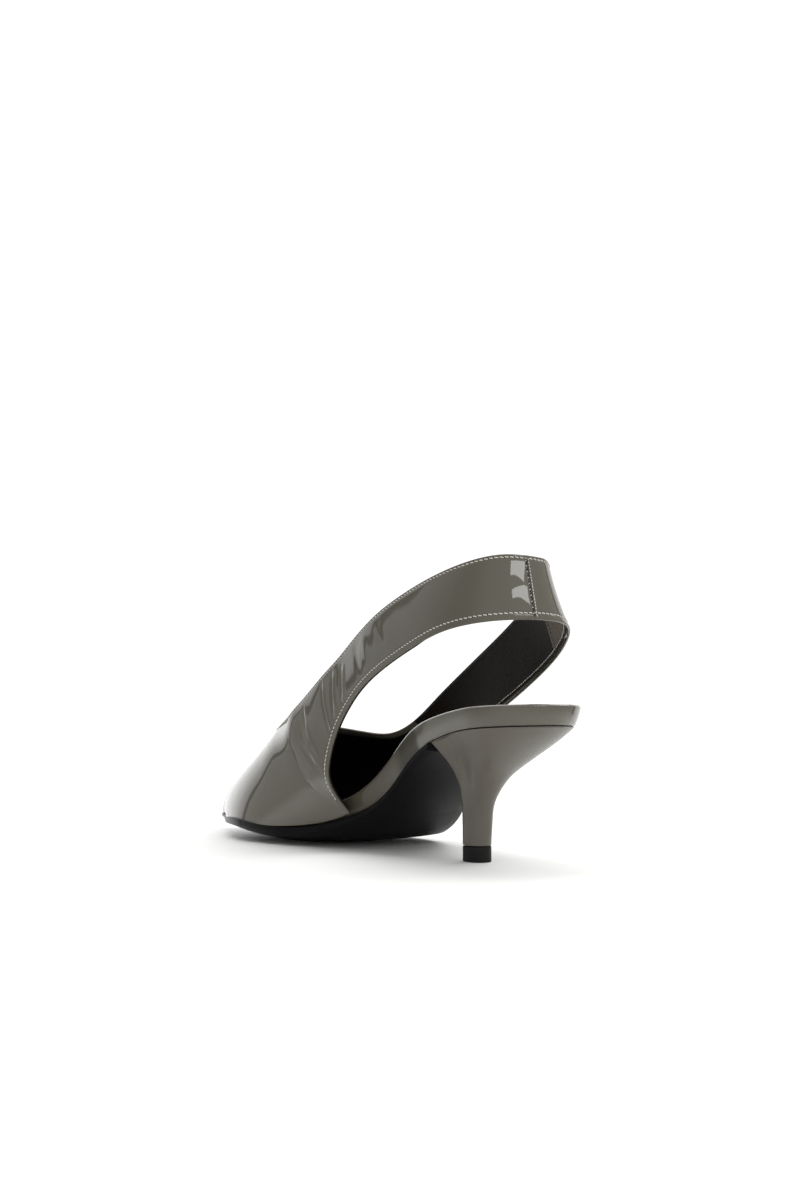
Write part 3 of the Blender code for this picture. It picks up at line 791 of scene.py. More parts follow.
def feather_outline():
    """The upper's outer edge on the sole, from the inner side round the toe to the outer side."""
    out = FEATHER_OUT
    end = LAST_LENGTH + out
    forward = np.concatenate((np.linspace(100, 225, 126), stations(225.0, end, 400)[200:]))
    forward = np.unique(np.clip(forward, 100, end))
    at_toe = np.clip((end - forward) / (TOE_RADIUS + out), 0.0, 1.0)
    rounded = np.sqrt(1 - (1 - at_toe)**2)
    middle = centre_line(forward)
    inside = np.minimum(forward, LAST_LENGTH)
    inner = middle + (last("inner", inside) + out) * rounded
    outer = middle - (last("outer", inside) + out) * rounded
    there = np.stack((inner, forward), axis=-1)
    back = np.stack((outer, forward), axis=-1)[-2::-1]
    line = np.concatenate((there, back))
    length = np.concatenate(([0.0], np.cumsum(np.linalg.norm(np.diff(line, axis=0), axis=1))))
    return line, length, len(forward) - 1


def vamp_low(at):
    """The vamp's points on the sole, at any place between the rows of its table."""
    line, length, tip = feather_outline()
    inner = np.interp([row[0] for row in VAMP_INNER_ROWS], line[:tip, 1], length[:tip])
    outer_rows = [row[0] for row in VAMP_OUTER_ROWS]
    outer = np.interp(outer_rows, line[tip:, 1][::-1], length[tip:][::-1])
    knots = np.concatenate((inner, [length[tip]], outer))
    reached = spline(np.arange(len(knots)), knots, at)
    side = np.interp(reached, length, line[:, 0])
    forward = np.interp(reached, length, line[:, 1])
    height = bottom(np.minimum(forward, LAST_LENGTH), side)
    return np.stack((side, forward, height), axis=-1)


def upper_lines(at):
    """Low edge, shoulder, topline and fullness of the upper's sections at rows 0 to 34."""
    at = np.asarray(at, float) % UPPER_ROWS
    vamp = np.array(VAMP_INNER_ROWS + (VAMP_TIP_ROW,) + VAMP_OUTER_ROWS)
    strap = np.array(STRAP_ROWS)
    ends = vamp_low(np.array((float(VAMP_LAST_ROW), 0.0)))
    strap_low = np.concatenate((ends[:1], strap[:, :3], ends[1:]))
    on_sole = vamp_low(np.minimum(at, VAMP_LAST_ROW))
    in_air = spline(np.arange(len(strap_low)), strap_low, np.maximum(at - VAMP_LAST_ROW, 0.0))
    low = np.where((at <= VAMP_LAST_ROW)[:, None], on_sole, in_air)

    middle = (strap[:, :3] + strap[:, 3:6]) / 2
    first = (ends[:1] + vamp[-1:, 1:4]) / 2
    final = (ends[1:] + vamp[:1, 1:4]) / 2
    beside = np.concatenate((first, middle, final))
    along = beside[2:] - beside[:-2]
    outward = np.stack((along[:, 1], -along[:, 0], np.zeros(len(along))), axis=-1)
    outward /= np.linalg.norm(outward, axis=1)[:, None]
    top = np.concatenate((vamp[:, 1:4], strap[:, 3:6]))
    shoulder = np.concatenate((vamp[:, 4:7], middle + 2 * strap[:, 6:7] * outward))
    fullness = np.concatenate((vamp[:, 7:8], np.ones((len(strap), 1))))
    rows = np.concatenate((top, shoulder, fullness), axis=1)
    rows = np.concatenate((rows, rows[:1]))
    made = spline(np.arange(len(rows)), rows, at, closed=True)
    return low, made[:, 3:6], made[:, :3], made[:, 6:7]


def conic(lines, share):
    """Points of the sections: ((1-t)^2 low + w shoulder + t^2 top) / ((1-t)^2 + w + t^2).

    Here t is the share from the low edge to the topline, and w = 2 t (1-t) times the fullness."""
    low, shoulder, top, fullness = (line[:, None] for line in lines)
    t = share[..., None]
    weight = 2 * t * (1 - t) * fullness
    total = (1 - t)**2 + weight + t**2
    return ((1 - t)**2 * low + weight * shoulder + t**2 * top) / total


def section_lengths(lines, steps=240):
    """Shares along each section, and the length in millimetres up to each of them."""
    share = np.linspace(0, 1, steps + 1)
    points = conic(lines, np.broadcast_to(share, (len(lines[0]), steps + 1)))
    run = np.linalg.norm(np.diff(points, axis=1), axis=-1)
    start = np.zeros((len(run), 1))
    return share, np.concatenate((start, np.cumsum(run, axis=1)), axis=1)


def reach_share(share, length, reach):
    """Share at which each section has run the given length."""
    return np.array([np.interp(want, run, share) for want, run in zip(reach, length)])


def to_segment(forward, height, row):
    """Distance from a crease's line, and a share that fades at its two ends."""
    start = np.array(row[0:2])
    way = np.array(row[2:4]) - start
    long = np.linalg.norm(way)
    way = way / long
    along = (forward - start[0]) * way[0] + (height - start[1]) * way[1]
    aside = (forward - start[0]) * way[1] - (height - start[1]) * way[0]
    fade = smooth_step(-2.0, 0.3 * long, along) * (1 - smooth_step(0.55 * long, long + 2.0, along))
    return aside, fade


def relief(points):
    """How far the skin stands out of the last's smooth form, in millimetres.

    Each crease adds -deep exp(-(distance / half width)^2) times its fade, each dent
    -deep exp(-(forward / half length)^2 - (height / half height)^2), and a slow wave of
    0.03 mm runs through the whole skin."""
    side, forward, height = points[..., 0], points[..., 1], points[..., 2]
    inner_side = smooth_step(*RELIEF_SIDES, side)
    raised = np.zeros(side.shape)
    for row in CREASE_ROWS:
        aside, fade = to_segment(forward, height, row)
        raised = raised - row[5] * np.exp(-(aside / row[4])**2) * fade
    for row in DENT_ROWS:
        away = ((forward - row[0]) / row[2])**2 + ((height - row[1]) / row[3])**2
        raised = raised - row[4] * np.exp(-away)
    wave = np.sin(forward / 9.0 + side / 7.0) * np.sin(height / 8.0 - forward / 13.0)
    return raised * inner_side + 0.03 * wave


def on_upper(at, from_low=None, from_top=None):
    """Points and outward normals of the upper's skin at rows `at`, with the relief.

    A distance from the low edge or from the topline, in millimetres, gives the place on each
    section."""
    lines = upper_lines(at)
    share, length = section_lengths(lines)
    if from_low is None:
        reach = length[:, -1:] - from_top
    else:
        reach = np.broadcast_to(from_low, (len(length), np.shape(from_low)[-1]))
    return skin(at, lines, reach_share(share, length, reach))


def skin(at, lines, share):
    """Points and outward normals of the skin at shares of the sections.

    The normal is the cross product of the way round the shoe and the way up the section."""
    nudge = 0.02
    ahead = conic(upper_lines(at + nudge), share)
    behind = conic(upper_lines(at - nudge), share)
    above = conic(lines, np.minimum(share + 0.005, 1.0))
    below = conic(lines, np.maximum(share - 0.005, 0.0))
    normal = np.cross(ahead - behind, above - below)
    normal /= np.linalg.norm(normal, axis=-1, keepdims=True)
    points = conic(lines, share)
    return points + normal * relief(points)[..., None], normal


def back_seam_row(share):
    """Row of the seam at the back of the strap, at a share from its low edge to its topline."""
    return BACK_SEAM_LOW_ROW + (BACK_SEAM_TOP_ROW - BACK_SEAM_LOW_ROW) * share


def upper_patent(finish):
    """The patent leather of the vamp and its strap, in one, with rounded edges.

    Each section is a ring: up the conic, over the topline's rim, down the inner face and round
    the low rim. A stitch groove is -deep exp(-((d - inset) / wide)^2) at a distance d from an edge,
    and the back seam sinks by deep exp(-((row - seam's row) / half rows)^2)."""
    first, final = CREASED_ROWS
    smooth_rows = first - final + UPPER_ROWS
    smooth = np.linspace(final - UPPER_ROWS, first, int(smooth_rows * STEPS_A_ROW) + 1)
    creased = np.linspace(first, final, int((final - first) * CREASED_STEPS_A_ROW) + 1)
    by_seam = np.linspace(BACK_SEAM_LOW_ROW - 0.1, BACK_SEAM_TOP_ROW + 0.1, BACK_SEAM_STEPS)
    smooth = smooth[(smooth < by_seam[0] - 0.02) | (smooth > by_seam[-1] + 0.02)]
    at = np.sort(np.concatenate((smooth, by_seam, creased[1:-1])))
    lines = upper_lines(at)
    share, length = section_lengths(lines)
    total = length[:, -1:]
    rim = PATENT_THICK / 2
    band = np.array(LOW_BAND)
    top_band = np.array(TOP_BAND)
    middle = np.linspace(0, 1, FACE_LINES + 2)[1:-1]
    low_face = np.broadcast_to(band, (len(at), len(band)))
    top_face = total - top_band[::-1]
    mid_face = band[-1] + (total - 2 * band[-1]) * middle
    turn = np.linspace(0, np.pi, RIM_STEPS + 1)
    over = total - rim + rim * np.sin(turn)
    inside = total - rim + (2 * rim - total) * np.linspace(0, 1, INNER_LINES + 2)[1:-1]
    under = np.broadcast_to(rim - rim * np.sin(turn), (len(at), len(turn)))
    reach = np.concatenate((low_face, mid_face, top_face, over, inside, under), axis=1)
    depth_over = rim - rim * np.cos(turn)
    depth = np.concatenate((
        np.zeros(2 * len(band) + len(middle)), depth_over,
        np.full(INNER_LINES, PATENT_THICK), depth_over[::-1],
    ))
    points, normal = skin(at, lines, reach_share(share, length, reach))
    from_top = total - reach - TOP_STITCH_INSET
    from_low = reach - LOW_STITCH_INSET
    on_strap = smooth_step(*STRAP_START_ROWS, at % UPPER_ROWS)[:, None]
    groove = np.exp(-(from_top / GROOVE_WIDE)**2) + np.exp(-(from_low / GROOVE_WIDE)**2) * on_strap
    outer = depth == 0
    seam = np.exp(-((at[:, None] - back_seam_row(reach / total)) / BACK_SEAM_HALF_ROWS)**2)
    sunk = depth + np.where(outer, groove * GROOVE_DEEP + BACK_SEAM_DEEP * seam, 0.0)
    points = points - normal * sunk[..., None]
    grid = in_frame(points)
    faces = grid_faces(*grid.shape[:2], wrap_rows=True)
    made = piece("upper_patent", grid, faces, finish, 60.0)
    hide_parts("upper")


def layer(name, finish, start, end, low_edge, top_edge, depth, thick, steps):
    """A thin layer inside the upper's wall, from row start to row end, its rims eased.

    It starts low_edge from the upper's low edge, a table of rows and millimetres, and ends
    top_edge from the topline."""
    at = np.linspace(start, end, int((end - start) * steps) + 1)
    lines = upper_lines(at)
    share, length = section_lengths(lines)
    across = np.concatenate(([0.0, 0.004], np.linspace(0.012, 0.988, 46), [0.996, 1.0]))
    low = np.interp(at, *low_edge)[:, None]
    face = low + (length[:, -1:] - top_edge - low) * across
    reach = np.concatenate((face, face[:, ::-1]), axis=1)
    eased = np.ones(len(across))
    eased[[0, -1]] = 0.45
    eased[[1, -2]] = 0.85
    sunk = np.concatenate((depth + thick * eased, np.full(len(across), depth)))
    points, normal = skin(at, lines, reach_share(share, length, reach))
    points = points - normal * sunk[:, None]
    grid = in_frame(points)
    capped(name, grid, finish, 60.0)


# Stitches

def resample(points, normals, pitch):
    """Evenly spaced points, ways along and normals of a path, one for each stitch."""
    run = np.linalg.norm(np.diff(points, axis=0), axis=1)
    length = np.concatenate(([0.0], np.cumsum(run)))
    count = max(int(round(length[-1] / pitch)), 2)
    at = (np.arange(count) + 0.5) / count * length[-1]
    centre = np.stack([np.interp(at, length, column) for column in points.T], axis=-1)
    up = np.stack([np.interp(at, length, column) for column in normals.T], axis=-1)
    up /= np.linalg.norm(up, axis=1)[:, None]
    ahead = np.stack([np.interp(at + 0.2, length, column) for column in points.T], axis=-1)
    behind = np.stack([np.interp(at - 0.2, length, column) for column in points.T], axis=-1)
    along = ahead - behind
    along -= up * np.sum(along * up, axis=1)[:, None]
    along /= np.linalg.norm(along, axis=1)[:, None]
    return centre, along, up


def capsules(centre, along, up, long, wide, high, lean=0.0):
    """Joined capsules: centre + z long/2 along + r(z) (cos wide/2 across + sin high/2 up).

    r(z) is sqrt(1 - z^4), and the ends dip by STITCH_DIP high z^2. Lean turns each one in its
    surface, in degrees."""
    across = np.cross(up, along)
    turn = np.radians(lean)
    way = along * np.cos(turn) + across * np.sin(turn)
    aside = across * np.cos(turn) - along * np.sin(turn)
    z = np.sin(np.linspace(-np.pi / 2, np.pi / 2, STITCH_RINGS + 2))
    swell = np.sqrt(np.maximum(1 - z**4, 0.0))
    around = np.arange(STITCH_SIDES) / STITCH_SIDES * 2 * np.pi
    ring_aside = swell[:, None] * np.cos(around) * wide / 2
    ring_up = swell[:, None] * np.sin(around) * high / 2 - (STITCH_DIP * high * z**2)[:, None]
    ring_way = np.broadcast_to((z * long / 2)[:, None], ring_up.shape)
    parts = (way, ring_way), (aside, ring_aside), (up, ring_up)
    points = centre[:, None, None] + sum(
        direction[:, None, None] * amount[None, ..., None] for direction, amount in parts
    )
    one = grid_faces(STITCH_RINGS + 2, STITCH_SIDES)
    size = (STITCH_RINGS + 2) * STITCH_SIDES
    faces = one[None] + (np.arange(len(centre)) * size)[:, None, None]
    return points.reshape(-1, 3), faces.reshape(-1, 4)


def join(parts):
    """Points and faces of several meshes as one."""
    points = []
    faces = []
    count = 0
    for some, corners in parts:
        points.append(some)
        faces.append(corners + count)
        count += len(some)
    return np.concatenate(points), np.concatenate(faces)


def edge_path(start, end, edge, inset, depth):
    """A line on the upper, in from its topline or its low edge, at a depth in the wall."""
    at = np.linspace(start, end, int((end - start) * STEPS_A_ROW) + 1)
    inset = np.array((inset,))
    points, normal = on_upper(at, from_low=inset) if edge == "low" else on_upper(at, from_top=inset)
    points, normal = points[:, 0], normal[:, 0]
    return points - normal * depth, normal


def stitch_piece(name, rows, finish, long, wide, high, lean=0.0):
    """A joined set of stitch rows, each given as (points, normals, pitch)."""
    parts = []
    for points, normals, pitch in rows:
        centre, along, up = resample(points, normals, pitch)
        parts.append(capsules(centre, along, up, long, wide, high, lean))
    points, faces = join(parts)
    piece(name, in_frame(points), faces, finish, 80.0)


def hole_shade_marks(name, rows, finish):
    """Painted shade: a dark capsule between every two stitches of each row, for the shade in its
    needle hole.
    """
    parts = []
    for points, normals, pitch in rows:
        centre, along, up = resample(points, normals, pitch)
        centre = centre + along * pitch / 2 - up * 0.02
        parts.append(capsules(centre, along, up, 0.36, 0.62, 0.34))
    points, faces = join(parts)
    piece(name, in_frame(points), faces, finish, 80.0)


def upper_stitching(thread, dark, hole):
    """Rows close inside the topline and the strap's low edge, outside and on the strap's lining."""
    sunk = GROOVE_DEEP - 0.08
    outside = [
        (*edge_path(0, UPPER_ROWS, "top", TOP_STITCH_INSET, sunk), STITCH_PITCH),
        (*edge_path(*STRAP_STITCH_ROWS, "low", LOW_STITCH_INSET, sunk), STITCH_PITCH),
    ]
    stitch_piece("edge_stitches", outside, thread, STITCH_LONG, STITCH_WIDE, 0.40, 10.0)
    hole_shade_marks("edge_hole_shade_marks", outside, hole)
    deep = PATENT_THICK + LINING_THICK - LAYER_SUNK
    low, normal = edge_path(*LINING_STITCH_ROWS, "low", LOW_STITCH_INSET, deep)
    stitch_piece(
        "lining_low_stitches", [(low, -normal, STITCH_PITCH)], thread, STITCH_LONG, 0.42, 0.34,
    )
    top, normal = edge_path(*LINING_STITCH_ROWS, "top", TOP_STITCH_INSET, deep)
    stitch_piece(
        "lining_top_stitches", [(top, -normal, STITCH_PITCH)], dark, STITCH_LONG, 0.42, 0.34,
    )
    reach = np.linspace(*GRIP_STITCH_REACH, 50)
    at = np.full(len(reach), GRIP_FIRST_ROW + 0.1) - 0.02 * np.linspace(0, 1, len(reach))
    points, normal = on_upper(at, from_low=reach[:, None])
    inner = points[:, 0] - normal[:, 0] * (deep + 0.33)
    row = (inner, -normal[:, 0], GRIP_STITCH_PITCH)
    stitch_piece("grip_stitches", [row], dark, 1.2, 0.8, 0.36)


def back_seam(thread, dark, hole):
    """The closed seam at the back of the strap: slanted dark stitches with pale flecks beside."""
    share = np.linspace(0.05, 0.955, 80)
    middle = back_seam_row(share)
    lines = upper_lines(middle)
    length = section_lengths(lines)[1]
    rows = {}
    right, left = BACK_SEAM_FLECK_ROWS
    for side, shift in (("dark", 0.0), ("right", right), ("left", left)):
        points, normal = on_upper(middle + shift, from_low=length[:, -1:] * share[:, None])
        rows[side] = (points[:, 0] - normal[:, 0] * 0.02, normal[:, 0])
    pitch = BACK_SEAM_PITCH
    stitch_piece("back_seam_stitches", [(*rows["dark"], pitch)], dark, 1.8, 0.55, 0.5, 52.0)
    stitch_piece("back_seam_flecks", [(*rows["right"], pitch)], thread, 0.95, 0.50, 0.45, -28.0)
    sparse = [(*rows["left"], 2 * pitch)]
    stitch_piece("back_seam_left_flecks", sparse, thread, 0.7, 0.42, 0.4, 34.0)
    hole_shade_marks("back_seam_hole_shade", [(*rows["left"], pitch)], hole)


# Board, sock, sole and heel

def edge_line(start, end, inset, steps):
    """(forward, inner side, outer side) of the last's bottom outline, moved in by the inset."""
    forward = stations(start, end, steps)
    middle = centre_line(forward)
    inner = middle + half_width("inner", forward, inset)
    outer = middle - half_width("outer", forward, inset)
    return forward, inner, outer


def across(line, steps=12):
    """Sides that step from the inner to the outer edge of an outline, without the edges."""
    forward, inner, outer = line
    share = np.linspace(0, 1, steps + 1)[1:-1]
    return inner[:, None] + (outer - inner)[:, None] * share


def section_grid(wall, top_line, top_height, low_line, low_height):
    """Cross-sections, one to a row: up the inner wall, over the top, down the outer and back.

    A wall line is (outline, function that gives the height at a place)."""
    up = [place(line[1], line[0], high(line[0], line[1])) for line, high in wall]
    down = [place(line[2], line[0], high(line[0], line[2])) for line, high in wall[::-1]]
    top_side = across(top_line)
    low_side = across(low_line)[:, ::-1]
    forward = top_line[0][:, None]
    low_forward = low_line[0][:, None]
    top = place(top_side, forward, top_height(forward, top_side))
    low = place(low_side, low_forward, low_height(low_forward, low_side))
    return np.concatenate((np.stack(up, 1), top, np.stack(down, 1), low), axis=1)


def covered_board(finish):
    """The insole board with its patent rand, wrapped over the edge and down to the sock.

    The face's inset is lean (1 - s) - bow 4 s (1 - s) as s rises to the shoulder, and above it
    the inset and the height follow a quarter ellipse."""
    def at_share(share):
        return lambda along, side: bottom(along, side) + last("thickness", along) * share

    rise = np.linspace(0, 1, 15)
    face = RAND_LEAN * (1 - rise) - RAND_BOW * 4 * rise * (1 - rise)
    turn = np.linspace(0, np.pi / 2, 10)[1:]
    insets = np.concatenate(([RAND_LEAN + 0.5], face, RAND_ROUND * (1 - np.cos(turn))))
    shares = np.concatenate((
        [0.0], 0.03 + (RAND_SHOULDER - 0.03) * rise,
        RAND_SHOULDER + (1 - RAND_SHOULDER) * np.sin(turn),
    ))
    insets = np.concatenate((insets, [RIM_WIDE - 0.7, RIM_WIDE - 0.2]))
    shares = np.concatenate((shares, [0.995, 0.97]))
    wall = []
    for inset, share in zip(insets, shares):
        line = edge_line(inset, LAST_LENGTH - inset, inset, BOARD_STEPS)
        wall.append((line, at_share(share)))
    seat = edge_line(RIM_WIDE, LAST_LENGTH - RIM_WIDE, RIM_WIDE, BOARD_STEPS)
    wall.append((seat, board_top))
    grid = section_grid(wall, seat, board_top, wall[0][0], board_under)
    made = piece("covered_board", grid, grid_faces(*grid.shape[:2]), finish, 60.0)
    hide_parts("insole_board")


def sock(finish):
    """The thin leather sock lining inside the board's rim, with a rounded edge."""
    inset = RIM_WIDE + GAP

    def over(rise):
        return lambda forward, side: board_top(forward, side) + GAP + rise

    wall = []
    for inwards, rise in SOCK_ROUND:
        edge = inset + inwards
        wall.append((edge_line(edge, LAST_LENGTH - edge, edge, SOCK_STEPS), over(rise)))
    grid = section_grid(wall, wall[-1][0], over(SOCK_THICK), wall[0][0], over(0.0))
    made = piece("sock_lining", grid, grid_faces(*grid.shape[:2]), finish, 60.0)
    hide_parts("insole_sock")


def sole_line(back, inset, steps):
    """Outline of the outsole: inside the board at the waist, just outside the upper in front.

    Where its edge curls up it stands SOLE_LIP_OUT further out."""
    reach = FEATHER_OUT + SOLE_WELT_OUT - inset
    end = LAST_LENGTH + reach - SOLE_TOE_TUCK
    forward = stations(back, end, steps)
    ends = (SOLE_WAIST_END, SOLE_BALL_START)
    out = np.interp(forward, ends, (-SOLE_WAIST_INSET - inset, reach))
    lip = smooth_step(*SOLE_LIP_RISES, forward) - smooth_step(*SOLE_LIP_FALLS, forward)
    out = out + SOLE_LIP_OUT * lip
    at_toe = np.clip((end - forward) / (TOE_RADIUS + reach), 0.0, 1.0)
    rounded = np.sqrt(1 - (1 - at_toe)**2)
    middle = centre_line(forward)
    inner = middle + (last("inner", np.minimum(forward, LAST_LENGTH)) + out) * rounded
    outer = middle - (last("outer", np.minimum(forward, LAST_LENGTH)) + out) * rounded
    return forward, inner, outer


def read_table(rows, forward):
    """A table of (forward, value) rows, read along straight lines."""
    return np.interp(forward, *zip(*rows))


def leather_sole(finish):
    """The outsole, crowned from side to side, its edge rounded and curled up in front of the ball.

    Its top rises by lift share^4. Its underside is the edge's height + lift - (crown + lift)
    (1 - share^2), and never below the floor."""
    back = HEEL_SEAT_FRONT + 3 * GAP
    edge = sole_line(back, 0.0, SOLE_STEPS)
    forward = edge[0]

    def turned_up(along):
        places, sizes = zip(*SOLE_LIFT_ROWS)
        return spline(places, sizes, along)

    def top(along, side):
        last_top = board_under(np.minimum(along, LAST_LENGTH), side) - GAP
        return last_top + turned_up(along) * share_across(along, side)**4

    def under(along, side):
        middle = centre_line(along)
        inner = np.interp(along, forward, edge[1]) - middle
        outer = middle - np.interp(along, forward, edge[2])
        offset = side - middle
        half = np.maximum(np.where(offset > 0, inner, outer), 1.0)
        share = np.clip(np.abs(offset) / half, 0.0, 1.0)
        crown = read_table(SOLE_CROWN_ROWS, along)
        thick = read_table(SOLE_EDGE_ROWS, along)
        edge_low = bottom(np.minimum(along, LAST_LENGTH), side) - GAP - thick
        lift = turned_up(along)
        return np.maximum(edge_low + lift - (crown + lift) * (1 - share**2), 0.0)

    def lifted(rise):
        return lambda along, side: under(along, side) + rise

    def lowered(drop):
        return lambda along, side: top(along, side) - drop

    wall = []
    for inset, rise in SOLE_LOW_ROUND:
        start = back + SOLE_BACK_SLANT * (1 - rise / SOLE_LOW_ROUND[-1][1])
        wall.append((sole_line(start, inset, SOLE_STEPS), lifted(rise)))
    for inset, drop in SOLE_TOP_ROUND:
        wall.append((sole_line(back, inset, SOLE_STEPS), lowered(drop)))
    grid = section_grid(wall, wall[-1][0], top, wall[0][0], under)
    rows, ring = grid.shape[:2]
    faces = grid_faces(rows, ring)
    made = piece("leather_sole", grid, faces, finish, 45.0, (range(ring),))
    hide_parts("outsole")


def heel_outline(inset, finer):
    """The heel's top outline, from the middle of its back round to the middle of its breast."""
    round_end = stations(inset, HEEL_SEAT_FRONT, 18 * finer)
    half = half_width("inner", round_end, inset)
    sides = np.stack((half, round_end), axis=-1)
    share = np.linspace(1, 0, 5 * finer + 1)[1:]
    breast = HEEL_SEAT_FRONT - BREAST_HOLLOW * (1 - share**2)
    front = np.stack((share * half[-1], breast), axis=-1)
    return np.concatenate((sides, front))


def tip_outline(finer):
    """The heel tip's outline, with one point for each of the heel's top outline."""
    turn = np.linspace(0, np.pi / 2, 14 * finer + 1)
    rounded = np.stack(
        (HEEL_TIP_HALF * np.sin(turn), HEEL_TIP_CENTRE - HEEL_TIP_BACK * np.cos(turn)), axis=-1
    )
    corner_share = np.linspace(0, 1, 4 * finer + 1)[1:]
    corner_side = HEEL_TIP_HALF * (1 - 0.16 * corner_share**3)
    corner_forward = HEEL_TIP_CENTRE + (HEEL_TIP_FRONT - 0.3) * corner_share
    corner = np.stack((corner_side, corner_forward), axis=-1)
    share = np.linspace(1, 0, 5 * finer + 1)[1:]
    front_forward = HEEL_TIP_CENTRE + HEEL_TIP_FRONT - 0.3 * share**2
    front = np.stack((corner[-1, 0] * share, front_forward), axis=-1)
    return np.concatenate((rounded, corner, front))


def full_ring(half_ring):
    """A closed ring from its inner half, whose first and last points lie on the middle."""
    other = half_ring[-2:0:-1] * np.array((-1.0, 1.0))
    return np.concatenate((half_ring, other))


def covered_heel(finish):
    """The kitten heel in patent leather: a flared seat that runs down to a slim column.

    Each level is foot + (seat - foot) times its flare, read from the table by a smooth curve."""
    seat = full_ring(heel_outline(HEEL_INSET, HEEL_FINER))
    foot = full_ring(tip_outline(HEEL_FINER))
    flare = np.array(FLARE_ROWS)
    frontness = smooth_step(0.25, 0.85, seat[:, 1] / HEEL_SEAT_FRONT)
    top_height = bottom(seat[:, 1], seat[:, 0]) - GAP
    base = HEEL_TIP_HIGH + GAP
    share = np.linspace(0, 1, HEEL_LEVELS)**0.85
    back = spline(flare[:, 0], flare[:, 1], share)[:, None]
    breast = spline(flare[:, 0], flare[:, 2], share)[:, None]
    grown = (back * (1 - frontness) + breast * frontness)[..., None]
    plan = foot + (seat - foot) * grown
    height = base + (top_height - base) * share[:, None]
    grid = place(plan[..., 0], plan[..., 1], height)
    made = capped("covered_heel", grid, finish, 50.0)
    rounding = made.modifiers.new("rounded edges", "BEVEL")
    rounding.width = HEEL_ROUND * MM
    rounding.segments = 3
    rounding.limit_method = "ANGLE"
    rounding.angle_limit = np.radians(HEEL_ROUND_DEG)
    rounding.harden_normals = True
    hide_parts("heel")


def seam_shade_strip(finish):
    """A thin black strip between the heel's seat and the board, just inside their edges: painted
    shade that darkens the seam between them.
    """
    ring = full_ring(heel_outline(HEEL_INSET + 0.45, HEEL_FINER))
    top = bottom(ring[:, 1], ring[:, 0])
    low = place(ring[:, 0], ring[:, 1], top - GAP - 0.35)
    high = place(ring[:, 0], ring[:, 1], top + 0.25)
    capped("heel_seam_shade_strip", np.stack((low, high)), finish, 40.0)


def top_piece(finish):
    """The rubber top piece under the heel, with worn-round edges."""
    ring = full_ring(tip_outline(HEEL_FINER))
    middle = np.array((0.0, HEEL_TIP_CENTRE))
    rings = []
    for height, grown in TOP_PIECE_ROWS:
        plan = middle + (ring - middle) * grown
        rings.append(place(plan[:, 0], plan[:, 1], height))
    made = capped("rubber_top_piece", np.stack(rings), finish, 40.0)
    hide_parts("heel_tip")


# Floor, lights and camera

def floor():
    """A plain pale board under the shoe that fades out from FLOOR_FADE to its round edge."""
    turn = np.arange(FLOOR_SIDES) / FLOOR_SIDES * 2 * np.pi
    rim = np.stack((np.cos(turn), np.sin(turn), 0 * turn), axis=-1) * FLOOR_RADIUS + FLOOR_CENTRE
    mesh = bpy.data.meshes.new("floor")
    mesh.from_pydata(rim.tolist(), [], [tuple(range(FLOOR_SIDES))])
    made = bpy.data.objects.new("floor", mesh)
    bpy.context.scene.collection.objects.link(made)
    finish, tree, shader, at = new_material("painted_board")
    set_shader(shader, Base_Color=colour("#F2F2F0"), Roughness=0.7)
    away = node(tree, "ShaderNodeVectorMath", [(at, 0)], operation="DISTANCE")
    away.inputs[1].default_value = FLOOR_CENTRE
    fade = node(
        tree, "ShaderNodeMapRange", [(away.outputs["Value"], "Value")],
        interpolation_type="SMOOTHSTEP", From_Min=FLOOR_RADIUS, From_Max=FLOOR_FADE,
    )
    tree.links.new(fade.outputs["Result"], shader.inputs["Alpha"])
    mesh.materials.append(finish)


def softbox(name, aim, azimuth, elevation, wide, high, bright, roll):
    """A rectangular area light in a direction from a place, all angles in degrees.

    Its sides are 2 away tan(angle / 2), and its power is bright pi times its area. The roll
    raises its end on the +X side."""
    turn, rise = np.radians((azimuth, elevation))
    way = np.array((np.sin(turn) * np.cos(rise), np.cos(turn) * np.cos(rise), np.sin(rise)))
    light = bpy.data.lights.new(name, "AREA")
    light.shape = "RECTANGLE"
    light.size = 2 * SOFTBOX_AWAY * np.tan(np.radians(wide) / 2)
    light.size_y = 2 * SOFTBOX_AWAY * np.tan(np.radians(high) / 2)
    light.energy = bright * np.pi * light.size * light.size_y
    made = bpy.data.objects.new(name, light)
    bpy.context.scene.collection.objects.link(made)
    made.matrix_world = look_at(aim + way * SOFTBOX_AWAY, np.array(aim), roll)


def look_at(eye, aim, roll=0.0):
    """A matrix that turns the local -Z axis from the eye to the aim, with +Z of the world up.

    The roll, in degrees, then turns it about that axis, clockwise as it looks."""
    back = (eye - aim) / np.linalg.norm(eye - aim)
    level = np.cross((0.0, 0.0, 1.0), back)
    level /= np.linalg.norm(level)
    turn = np.radians(roll)
    upright = np.cross(back, level)
    right = level * np.cos(turn) - upright * np.sin(turn)
    up = upright * np.cos(turn) + level * np.sin(turn)
    turned = np.eye(4)
    turned[:3, 0], turned[:3, 1], turned[:3, 2], turned[:3, 3] = right, up, back, eye
    return Matrix(turned.tolist())


